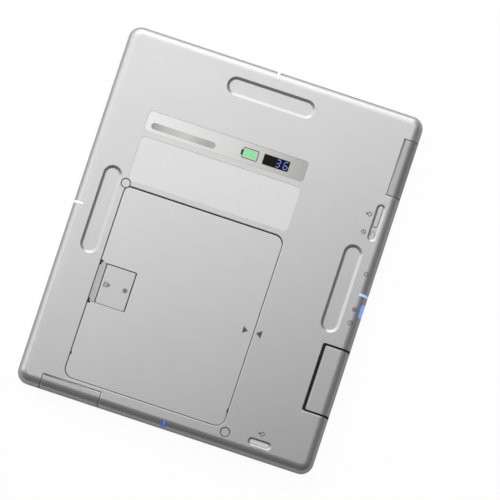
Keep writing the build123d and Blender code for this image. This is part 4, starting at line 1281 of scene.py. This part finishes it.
class DETECTOR_OT_display(bpy.types.Operator):
    """Builds the display strip: film, lens with two digits, battery level and printed bar"""

    bl_idname = "detector.display"
    bl_label = "Display Strip"

    def execute(self, context):
        strip = span("display_panel")
        lens = span("display_lens")
        lens_corner = 0.6 * MM
        bar_corner = 0.4 * MM
        film_edge = 0.08 * MM
        film_piece = tile("display_film", strip, STRIP_CORNER, film_edge, 8)
        gap = 0.1 * MM
        hole_z = grown(strip.z, MM)
        for place, corner in ((lens, lens_corner), *[(bar, bar_corner) for bar in level_bars()]):
            cut(film_piece, block("hole", *footprint(place, gap), hole_z, corner))
        dressed(film_piece, "film", "panel", "display_panel")
        lens_edge = 0.1 * MM
        glass = tile("display_glass", lens, lens_corner, lens_edge)
        dressed(glass, "display_black", "panel", "display_lens")
        self.add_digits(context.scene.detector_display, lens)
        self.add_level(strip, bar_corner)
        bar = between(BAR_X, BAR_Y, RIGHT)
        printed_bar = lofted("strip_bar", bar, straight(strip.z[1], strip.z[1] + INK), 8)
        dressed(printed_bar, "bar_grey", "panel")
        return {"FINISHED"}

    def add_digits(self, settings, lens):
        """Two digits of seven segments each, leaning a little to the right."""
        height = settings.digit_height
        width = 0.56 * height
        bar = 0.095 * height
        pitch = width + 0.42 * height
        segment_gap = 0.6 * bar
        lean = 0.07
        right = lens.x[1] - 1.2 * MM
        bottom = middle(lens.y) - height / 2
        for index, digit in enumerate(divmod(settings.number, 10)):
            ink = Print(lens.z[1])
            left = right - width - (1 - index) * pitch
            for name, (start, end) in SEGMENTS.items():
                if name in DARK_SEGMENTS[digit]:
                    continue
                run = (Vector(end) - Vector(start)).normalized()
                ends = []
                for corner, sign in ((start, 1), (end, -1)):
                    x = left + bar / 2 + corner[0] * (width - bar) + sign * run.x * segment_gap
                    y = bottom + bar / 2 + corner[1] * (height - bar) + sign * run.y * segment_gap
                    ends.append((x + lean * (y - bottom), y))
                ink.line(ends, bar)
            ink.piece(f"display_digit_{index + 1}", "digit_blue", "panel")

    def add_level(self, strip, bar_corner):
        """The three glowing bars, and the printed outline of a battery round them."""
        bars = span("battery_level_lights")
        bar_edge = 0.08 * MM
        level = None
        for place in level_bars():
            bar = tile("battery_level", place, bar_corner, bar_edge)
            level = join(level, bar) if level else bar
        level.name = "battery_level"
        dressed(level, "light_green", "panel", "battery_level_lights")
        left = bars.x[0] - 1.4 * MM
        right = bars.x[1] + 1.6 * MM
        nub_left = left - 1.7 * MM
        nub_y = grown(bars.y, -0.8 * MM)
        margin = 1.3 * MM
        corner = 1.0 * MM
        wall = 0.7 * MM
        body = between((left, right), grown(bars.y, margin), corner)
        ink = Print(strip.z[1])
        ink.line(outline_points(body, 0.0, 4), wall, closed=True)
        nub = [(nub_left, nub_y[0]), (left, nub_y[0]), (left, nub_y[1]), (nub_left, nub_y[1])]
        ink.patch(nub)
        ink.piece("battery_outline", "print_black", "panel")


class DETECTOR_OT_memo_label(bpy.types.Operator):
    """Builds the blank memo label in its shallow recess"""

    bl_idname = "detector.memo_label"
    bl_label = "Memo Label"

    def execute(self, context):
        memo = span("memo_label")
        gap = 0.1 * MM
        edge = 0.05 * MM
        label = tile("memo_film", memo, MEMO_CORNER - gap, edge, 8)
        dressed(label, "label_film", "panel", "memo_label")
        return {"FINISHED"}


def latch_mouth():
    """The opening over the latch, as an outline in plan."""
    plate = span("latch_plate")
    grip = span("latch_grip")
    side_gap = 0.2 * MM
    lip_reach = 1.0 * MM
    corner = 1.5 * MM
    x = (grip.x[0] - side_gap, plate.x[1] - lip_reach)
    return between(x, grown(grip.y, side_gap), corner)


class DETECTOR_OT_battery_pack(bpy.types.Operator):
    """Builds the battery pack's outer face, with its rounded edge and the latch's pocket"""

    bl_idname = "detector.battery_pack"
    bl_label = "Battery Pack"

    def execute(self, context):
        settings = context.scene.detector_casing
        thickness = 2.6 * MM
        low = DEPTH - thickness
        top = DEPTH - settings.pack_sink
        top_gap = 0.35 * MM
        reach = 0.15 * MM
        outline = pack_outline(top_gap, reach)
        cover = lofted("pack_cover", outline, plug(low, top, settings.opening_edge), 12)
        self.open_latch(cover, top)
        self.notch_edge(cover, (low - MM, ABOVE))
        dressed(cover, "pack_silver", "battery_pack", "battery_cover")
        arrow = Print(top)
        arrow.patch(at([(-2.4, -3.2), (2.3, 0.0), (-2.4, 3.2)], 41.8 * MM, -61 * MM))
        arrow.piece("pack_arrow", "print_dark", "battery_pack")
        return {"FINISHED"}

    def open_latch(self, cover, top):
        """Opens the latch's mouth and the pocket that it slides in."""
        outline = latch_mouth()
        depth = 2.0 * MM
        floor = DEPTH - depth
        lip = 0.6 * MM
        gap = 0.2 * MM
        edge = 0.15 * MM
        plate = span("latch_plate")
        pocket_x = (outline.x - outline.half_x, plate.x[1] + LATCH_TRAVEL + gap)
        pocket = block("pocket", pocket_x, grown(plate.y, gap), (floor, DEPTH - lip))
        cut(cover, pocket, lofted("mouth", outline, mouth(floor, top, edge), 6))

    def notch_edge(self, cover, z):
        """Cuts the bolts' two notches, and two dents in the pack's edge."""
        left, right = PACK.x
        notch_x = (left - MM, left + 1.9 * MM)
        notch_half = 2.3 * MM
        for side in (-1, 1):
            notch_y = about(latch_mouth().y + side * BOLT_REACH, notch_half)
            cut(cover, block("notch", notch_x, notch_y, z))
        dent_depth = 0.7 * MM
        dent_corner = 0.5 * MM
        for x, y, half in ((left, -127 * MM, 1.4 * MM), (right, -132.5 * MM, 2.2 * MM)):
            cut(cover, block("dent", about(x, dent_depth), about(y, half), z, dent_corner))


class DETECTOR_OT_latch(bpy.types.Operator):
    """Builds the pack's sliding latch: its plate, the ribbed grip strip, the dot and the marks"""

    bl_idname = "detector.latch"
    bl_label = "Battery Latch"

    def execute(self, context):
        plate = span("latch_plate")
        grip = span("latch_grip")
        top = grip.z[0]
        flange = top - 0.65 * MM
        low = top - 1.2 * MM
        plate_corner = 0.4 * MM
        outline = between((grip.x[0], plate.x[1]), plate.y, plate_corner)
        slide = lofted("latch_slide", outline, straight(low, flange))
        opening = latch_mouth()
        pad_x = (grip.x[1] + 0.7 * MM, opening.x + opening.half_x - 0.9 * MM)
        pad_y = (opening.y - opening.half_y + 0.35 * MM, opening.y + opening.half_y - 0.6 * MM)
        pad_corner = 1.0 * MM
        pad_edge = 0.25 * MM
        pad = lofted("latch_pad", between(pad_x, pad_y, pad_corner), plug(flange, top, pad_edge))
        dressed(pad, "latch_silver", "latch")
        overlap = 0.2 * MM
        join(slide, block("rail", grip.x, grip.y, (flange - overlap, top)))
        bolt_x = (plate.x[0], grip.x[0] + MM)
        tab_x = (grip.x[0] + 15.9 * MM, grip.x[0] + 17.9 * MM)
        tab_reach = 10 * MM
        tab_top = top - 0.6 * MM
        bolt_half = 1.1 * MM
        tab_half = 1.2 * MM
        for side in (-1, 1):
            bolt_y = about(middle(plate.y) + side * BOLT_REACH, bolt_half)
            tab_y = about(middle(plate.y) + side * tab_reach, tab_half)
            join(slide, block("bolt", bolt_x, bolt_y, (low, flange)))
            join(slide, block("tab", tab_x, tab_y, (plate.z[0], tab_top)))
        dressed(slide, "black_plastic", "latch", "latch_plate")
        self.add_grip(grip)
        self.add_marks(middle(plate.y), top)
        return {"FINISHED"}

    def add_grip(self, grip):
        """The grip strip, with rounded ribs along Y."""
        ribs = 5
        pitch = (grip.x[1] - grip.x[0]) / ribs
        valley = grip.z[0] + 0.2 * MM
        section = [(grip.x[1], grip.z[0]), (grip.x[0], grip.z[0])]
        for rib in range(ribs):
            for share in (0.08, 0.25, 0.5, 0.75, 0.92):
                rise = math.sin(math.pi * share) ** 0.6
                height = valley + (grip.z[1] - valley) * rise
                section.append((grip.x[0] + (rib + share) * pitch, height))
        strip = prism("latch_grip_strip", section, grip.y)
        dressed(strip, "latch_grey", "latch", "latch_grip")

    def add_marks(self, y, top):
        """Prints the arrow with three bars, and the round dot, on the latch's pad."""
        marks = Print(top)
        for x in (-86.9, -85.4, -83.9):
            marks.patch(at([(-0.36, -2.4), (0.36, -2.4), (0.36, 2.4), (-0.36, 2.4)], x * MM, y))
        marks.patch(at([(0.0, -1.9), (2.0, 0.0), (0.0, 1.9)], -83.1 * MM, y))
        marks.piece("latch_marks", "print_dark", "latch")
        dot_radius = 2.15 * MM
        dot = Print(top)
        dot.patch(arc(-67.8 * MM, y, dot_radius))
        dot.piece("latch_dot", "print_grey", "latch")


class DETECTOR_OT_mode_switch(bpy.types.Operator):
    """Builds the mode switch's knob, a thin black strip of painted shade round its foot, and the mark
    in its recess
    """

    bl_idname = "detector.mode_switch"
    bl_label = "Mode Switch"

    def execute(self, context):
        knob = span("switch_slider")
        floor = DEPTH - SWITCH_DEPTH
        low = floor + 0.1 * MM
        face = switch_face()
        end_inset = 0.3 * MM
        knob_edge = 0.35 * MM
        body = between(face, grown(knob.y, -end_inset), RIGHT)
        slider = lofted("switch_knob", body, plug(low, knob.z[1], knob_edge), 12)
        stem_half = 0.45 * MM
        overlap = 0.1 * MM
        stem_x = about(switch_middle(), stem_half)
        join(slider, block("stem", stem_x, about(SWITCH_STEM, MM), (knob.z[0], low + overlap)))
        dressed(slider, "knob_grey", "mode_knob", "switch_slider")
        # A thin black strip round the knob's foot: painted shade for the crevice between knob and
        # recess.
        crevice_shade_reach = 0.2 * MM
        crevice_shade_inset = 0.1 * MM
        crevice_shade = between(grown(face, crevice_shade_reach), grown(knob.y, -crevice_shade_inset), RIGHT)
        crevice_shade_z = (floor + 0.05 * MM, floor + 0.35 * MM)
        crevice_shade_piece = lofted("switch_skirt", crevice_shade, straight(*crevice_shade_z), 12)
        dressed(crevice_shade_piece, "black_plastic", "mode_knob")
        self.add_mark(floor)
        return {"FINISHED"}

    def add_mark(self, floor):
        """Prints an upright arch on the recess's floor, below the knob."""
        x = switch_middle()
        y = 54.2 * MM
        radius = 1.8 * MM
        foot = y - 2.6 * MM
        crown = reversed(arc(x, y, radius, 0, 180, 10))
        width = 0.45 * MM
        mark = Print(floor)
        mark.line([(x - radius, foot), *crown, (x + radius, foot)], width)
        mark.piece("switch_mark", "print_grey", "panel")


class DETECTOR_OT_connector_door(bpy.types.Operator):
    """Builds the connector's cover, the black frame behind it and the stops under the frame"""

    bl_idname = "detector.connector_door"
    bl_label = "Connector Cover"

    def execute(self, context):
        settings = context.scene.detector_casing
        cover = span("connector_cover")
        backing = span("connector_cover_frame")
        cover_x = (cover.x[0], RIGHT + 3 * DOOR_CORNER)
        region = (cover_x, cover.y, (cover.z[0], ABOVE), DOOR_CORNER)
        outer = casing_form("door_skin", settings)
        combined(outer, block("region", *region), "INTERSECT")
        cut(outer, self.under_skin(settings))
        behind = casing_form("door_frame", settings)
        frame_x = (backing.x[0] + 0.3 * MM, RIGHT + 3 * DOOR_FRAME_CORNER)
        frame_z = (backing.z[0], ABOVE)
        frame_region = block("region", frame_x, backing.y, frame_z, DOOR_FRAME_CORNER)
        combined(behind, frame_region, "INTERSECT")
        cut(behind, inner_form("inside", settings))
        room = block("room", *region)
        cut(room, self.under_skin(settings))
        cut(behind, room)
        join(behind, self.barrel(backing))
        eased(outer, settings, footprint(cover, MM))
        dressed(outer, "cover_silver", "connector_door", "connector_cover")
        dressed(behind, "seal_rubber", "connector_door", "connector_cover_frame")
        self.add_corner_stops(backing)
        return {"FINISHED"}

    def under_skin(self, settings):
        """The casing's form moved in by the thickness of the cover's skin."""
        thickness = 1.0 * MM
        return inner_form("inner", settings, thickness, 0.0, 14, 14)

    def barrel(self, backing):
        """The hinge's barrel along the frame's left edge."""
        radius = 0.9 * MM
        end_gap = 0.4 * MM
        along_y = Matrix.Rotation(math.radians(-90), 4, "X")
        along_y.translation = (backing.x[0] + radius, backing.y[0] + end_gap, DEPTH - MM)
        length_y = backing.y[1] - backing.y[0] - 2 * end_gap
        return lofted("barrel", disc(0.0, 0.0, radius), straight(0.0, length_y), 6, along_y)

    def add_corner_stops(self, backing):
        """Two rubber stops in the casing, under the frame's corners beside the hinge."""
        x = (backing.x[0] - 0.6 * MM, backing.x[0] + 3.2 * MM)
        z = (CEILING - 1.4 * MM, CEILING - 0.15 * MM)
        corner = 0.3 * MM
        for index, y in enumerate(backing.y):
            stop = block(f"door_seal_{index + 1}", x, about(y, MM), z, corner)
            dressed(stop, "seal_rubber", "panel")


class DETECTOR_OT_connector_socket(bpy.types.Operator):
    """Builds the socket for the cable's plug behind the connector's cover"""

    bl_idname = "detector.connector_socket"
    bl_label = "Connector Socket"

    def execute(self, context):
        socket = span("cable_receptacle")
        wall = 1.0 * MM
        shell = block("socket_shell", *socket)
        inside_x = (socket.x[0] + wall, socket.x[1] + wall)
        cut(shell, block("inside", inside_x, grown(socket.y, -wall), grown(socket.z, -wall)))
        tongue_half = 0.7 * MM
        tongue_z = about(middle(socket.z), tongue_half)
        tongue_x = (socket.x[0] + wall / 2, socket.x[1] - wall / 2)
        join(shell, block("tongue", tongue_x, grown(socket.y, -3 * wall), tongue_z))
        dressed(shell, "dark_plastic", "panel", "cable_receptacle")
        return {"FINISHED"}


class DETECTOR_OT_power_button(bpy.types.Operator):
    """Builds the power button in the right side wall"""

    bl_idname = "detector.power_button"
    bl_label = "Power Button"

    def execute(self, context):
        button = span("power_button")
        face = button.x[1] - RIGHT
        back = -WALL - 0.25 * MM
        edge = 0.4 * MM
        cap = button_solid("power_key_cap", 0.0, back, face, edge)
        join(cap, block("flange", (button.x[0], RIGHT + back), button.y, button.z))
        dressed(cap, "knob_grey", "power_key", "power_button")
        return {"FINISHED"}


class DETECTOR_OT_infrared_window(bpy.types.Operator):
    """Builds the milky infrared lens in its recess"""

    bl_idname = "detector.infrared_window"
    bl_label = "Infrared Window"

    def execute(self, context):
        lens = span("infrared_window")
        edge = 0.25 * MM
        piece = tile("infrared_lens", lens, RIGHT, edge, 10)
        dressed(piece, "infrared_plastic", "panel", "infrared_window")
        return {"FINISHED"}


class DETECTOR_OT_round_caps(bpy.types.Operator):
    """Builds the two round caps beside the battery pack, each with a dark ring at the foot of its gap
    as painted shade
    """

    bl_idname = "detector.round_caps"
    bl_label = "Round Caps"

    def execute(self, context):
        caps = span("round_caps")
        low = caps.z[0]
        top = caps.z[1] - 0.3 * MM
        disc_edge = -0.5 * MM
        rounding = 0.25 * MM
        points = [(disc_edge, low), (disc_edge, top), (-2.0 * MM, top)]
        cap_profile = softened(points, [rounding], 3)[:-1]
        # A dark ring at the foot of each cap's gap: painted shade of the gap.
        shade_ring_edge = 0.1 * MM
        shade_ring_height = 0.35 * MM
        shade_ring_hole = disc_edge + 0.02 * MM
        shade_ring_profile = [(shade_ring_edge, low), (shade_ring_edge, low + shade_ring_height)]
        joined = None
        for index, outline in enumerate(cap_outlines()):
            cap = lofted("cap_discs", outline, cap_profile, 12)
            joined = join(joined, cap) if joined else cap
            shade_ring = lofted(f"cap_seal_{index + 1}", outline, shade_ring_profile, 12)
            cut(shade_ring, lofted("hole", outline, [(shade_ring_hole, 0.0), (shade_ring_hole, ABOVE)], 12))
            dressed(shade_ring, "cap_seal", "panel")
        dressed(joined, "cap_grey", "panel", "round_caps")
        return {"FINISHED"}


class DETECTOR_OT_printed_marks(bpy.types.Operator):
    """Prints the small signs on the casing: arrow, mode, status, power and infrared"""

    bl_idname = "detector.printed_marks"
    bl_label = "Printed Marks"

    def execute(self, context):
        settings = context.scene.detector_casing

        def surface(x, y):
            """The height that the signs are printed at."""
            return casing_height(x, y, settings)

        arrow = Print(surface)
        arrow.patch(at([(2.4, -3.6), (2.4, 3.6), (-2.5, 0.0)], 53.8 * MM, -60.5 * MM))
        arrow.piece("casing_arrow", "print_dark", "panel")

        crossed_ring = (112.3 * MM, 53.3 * MM)
        radius = 1.8 * MM
        mode = Print(surface)
        self.arrow_ring(mode, 112.8 * MM, 69.4 * MM)
        mode.line(arc(*crossed_ring, radius), closed=True)
        mode.line(at([(-1.2, 1.2), (1.2, -1.2)], *crossed_ring))
        mode.piece("mode_marks", "print_dark", "panel")

        dotted_ring = (125.9 * MM, -14.0 * MM)
        error_ring = (125.9 * MM, -26.3 * MM)
        power_ring = (126 * MM, 18.5 * MM)
        radius = 1.9 * MM
        dot_radius = 1.1 * MM
        power_radius = 1.7 * MM
        status = Print(surface)
        status.line(arc(*dotted_ring, radius), closed=True)
        status.patch(arc(*dotted_ring, dot_radius, steps=12))
        status.line(arc(*error_ring, radius), closed=True)
        status.line(at([(0, -0.9), (0, 0.9)], *error_ring))
        status.line(arc(*power_ring, power_radius, 120, 420))
        status.line(at([(0, 0.4), (0, 2.2)], *power_ring))
        status.piece("status_marks", "print_dark", "panel")

        infrared = Print(surface)
        self.arrow_ring(infrared, 83.8 * MM, -142.3 * MM)
        infrared.piece("infrared_mark", "print_dark", "panel")
        return {"FINISHED"}

    def arrow_ring(self, ink, x, y):
        """A square on its corner, with an arrowhead at its left."""
        ink.line(at([(-2.0, 0.0), (0.0, 2.0), (2.0, 0.0), (0.0, -2.0)], x, y), closed=True)
        ink.patch(at([(-4.2, 0.0), (-1.9, -1.1), (-1.9, 1.1)], x, y))


class DETECTOR_OT_inner_parts(bpy.types.Operator):
    """Gives every node that is shown as it is the finish of its slot"""

    bl_idname = "detector.inner_parts"
    bl_label = "Inner Parts"

    def execute(self, context):
        slots = {part["node"]: part["material_slot"] for part in frame["record"]["subparts"]}
        for name, piece in frame["nodes"].items():
            if piece.hide_render:
                continue
            piece.data.materials.clear()
            piece.data.materials.append(finish(slots[name]))
        return {"FINISHED"}


def background_rays(material):
    """One where the camera, a reflection or a see-through surface looks at the background."""
    path = node(material, "ShaderNodeLightPath").outputs
    mirrored = calculated(material, "MAXIMUM", path["Is Camera Ray"], path["Is Glossy Ray"])
    return calculated(material, "MAXIMUM", mirrored, path["Is Transmission Ray"])


def mixed(material, share, first, second):
    """The two shaders, mixed by the share of the second one."""
    made = node(material, "ShaderNodeMixShader", Fac=share)
    link(material, first, made.inputs[1])
    link(material, second, made.inputs[2])
    return made.outputs["Shader"]


class DETECTOR_OT_stage(bpy.types.Operator):
    """Sets the white floor, the soft lamps, the world and the camera"""

    bl_idname = "detector.stage"
    bl_label = "Stage"

    def execute(self, context):
        settings = context.scene.detector_stage
        context.scene.view_settings.view_transform = "Standard"
        self.add_floor(settings)
        self.light_world(context.scene, settings)
        down = (0.0, 0.0, math.radians(41.5))
        for name, place, turn, size, power in (
            ("overhead_lamp", (-0.25, 0.82, 1.1), down, (1.48, 1.48), settings.overhead_power),
            ("top_lamp", (-0.42, 1.45, 0.55), None, (1.8, 0.95), settings.top_power),
            ("left_lamp", (-1.33, 0.3, 0.68), None, (1.25, 1.25), settings.left_power),
        ):
            self.add_lamp(name, place, turn, size, power)
        self.add_camera(context.scene, settings)
        return {"FINISHED"}

    def add_floor(self, settings):
        """A wide floor: white to the camera with a faint shadow, and grey for the light it returns."""
        half = 30.0
        low = -0.05 * MM
        builder = bmesh.new()
        corners = [(-half, -half), (half, -half), (half, half), (-half, half)]
        builder.faces.new([builder.verts.new((x, y, low)) for x, y in corners])
        floor = new_object("floor", builder)
        material = bpy.data.materials.new("floor_white")
        material.use_nodes = True
        material.node_tree.nodes.clear()
        bounce = node(material, "ShaderNodeBsdfDiffuse", Color=(*settings.floor_colour, 1.0))
        shadow = node(material, "ShaderNodeBsdfDiffuse", Color=(*grey(0.9), 1.0))
        white = node(material, "ShaderNodeEmission", Strength=1.0)
        to_camera = node(material, "ShaderNodeLightPath").outputs["Is Camera Ray"]
        white_mirrored = 0.4
        white_seen = 0.96
        share = ranged(material, to_camera, white_mirrored, white_seen)
        seen = mixed(material, share, shadow.outputs["BSDF"], white.outputs["Emission"])
        chosen = mixed(material, background_rays(material), bounce.outputs["BSDF"], seen)
        node(material, "ShaderNodeOutputMaterial", Surface=chosen)
        floor.data.materials.append(material)

    def light_world(self, scene, settings):
        """Dim even light from all round."""
        world = bpy.data.worlds.new("studio")
        world.use_nodes = True
        scene.world = world
        background = world.node_tree.nodes["Background"]
        background.inputs["Color"].default_value = (*grey(1.0), 1.0)
        background.inputs["Strength"].default_value = settings.world_strength

    def add_lamp(self, name, place, turn, size, power):
        """A soft lamp of a width and height at a place; it points at the origin if it has no turn."""
        light = bpy.data.lights.new(name, "AREA")
        light.shape = "RECTANGLE"
        light.size, light.size_y = size
        light.energy = power
        lamp_object = bpy.data.objects.new(name, light)
        lamp_object.location = place
        lamp_object.rotation_euler = turn or Vector(place).to_track_quat("Z", "Y").to_euler()
        bpy.context.scene.collection.objects.link(lamp_object)

    def add_camera(self, scene, settings):
        """The photograph's view: from far above, leaning a little, with the detector turned."""
        picture_turn = math.radians(-18.2517)
        lean = Vector((math.radians(-8.3648), math.radians(0.4766), 0.0))
        aim = Vector((-25.15 * MM, 0.11 * MM, 0.0))
        middle_height = 7.5 * MM
        leaned = Quaternion(lean.normalized(), lean.length).to_matrix()
        turned = Matrix.Rotation(picture_turn, 3, "Z") @ leaned
        back = turned.transposed()
        camera = bpy.data.cameras.new("camera")
        camera.lens = settings.lens
        camera.sensor_width = 36.0
        camera.clip_start = 0.1
        camera.clip_end = 100.0
        camera_object = bpy.data.objects.new("camera", camera)
        place = back @ (Vector((0.0, 0.0, settings.camera_distance)) - aim)
        place.z += middle_height
        camera_object.matrix_world = Matrix.Translation(place) @ back.to_4x4()
        scene.collection.objects.link(camera_object)
        scene.camera = camera_object


# The add-on's classes, panel and registration

SETTINGS = {
    "detector_casing": DetectorCasingSettings,
    "detector_windows": DetectorWindowSettings,
    "detector_display": DetectorDisplaySettings,
    "detector_stage": DetectorStageSettings,
}
OPERATORS = (
    DETECTOR_OT_casing,
    DETECTOR_OT_windows,
    DETECTOR_OT_display,
    DETECTOR_OT_memo_label,
    DETECTOR_OT_battery_pack,
    DETECTOR_OT_latch,
    DETECTOR_OT_mode_switch,
    DETECTOR_OT_connector_door,
    DETECTOR_OT_connector_socket,
    DETECTOR_OT_power_button,
    DETECTOR_OT_infrared_window,
    DETECTOR_OT_round_caps,
    DETECTOR_OT_printed_marks,
    DETECTOR_OT_inner_parts,
    DETECTOR_OT_stage,
)


class DETECTOR_PT_panel(bpy.types.Panel):
    """Lists the detector's operators and settings in the 3D view's sidebar"""

    bl_idname = "DETECTOR_PT_panel"
    bl_label = "Flat Panel Detector"
    bl_space_type = "VIEW_3D"
    bl_region_type = "UI"
    bl_category = "Detector"

    def draw(self, context):
        for operator in OPERATORS:
            self.layout.operator(operator.bl_idname)
        for name, group in SETTINGS.items():
            box = self.layout.box()
            box.label(text=group.__doc__)
            for key in group.__annotations__:
                box.prop(getattr(context.scene, name), key)


def register():
    """Makes the settings, the operators and the panel known to Blender."""
    for name, group in SETTINGS.items():
        bpy.utils.register_class(group)
        setattr(bpy.types.Scene, name, bpy.props.PointerProperty(type=group))
    for shown in (*OPERATORS, DETECTOR_PT_panel):
        bpy.utils.register_class(shown)


def unregister():
    """Takes them out again."""
    for shown in (DETECTOR_PT_panel, *reversed(OPERATORS)):
        bpy.utils.unregister_class(shown)
    for name, group in SETTINGS.items():
        delattr(bpy.types.Scene, name)
        bpy.utils.unregister_class(group)


def main():
    """Builds the whole scene."""
    register()
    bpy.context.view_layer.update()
    for operator in OPERATORS:
        group, name = operator.bl_idname.split(".")
        getattr(getattr(bpy.ops, group), name)()


if __name__ == "__main__":
    main()
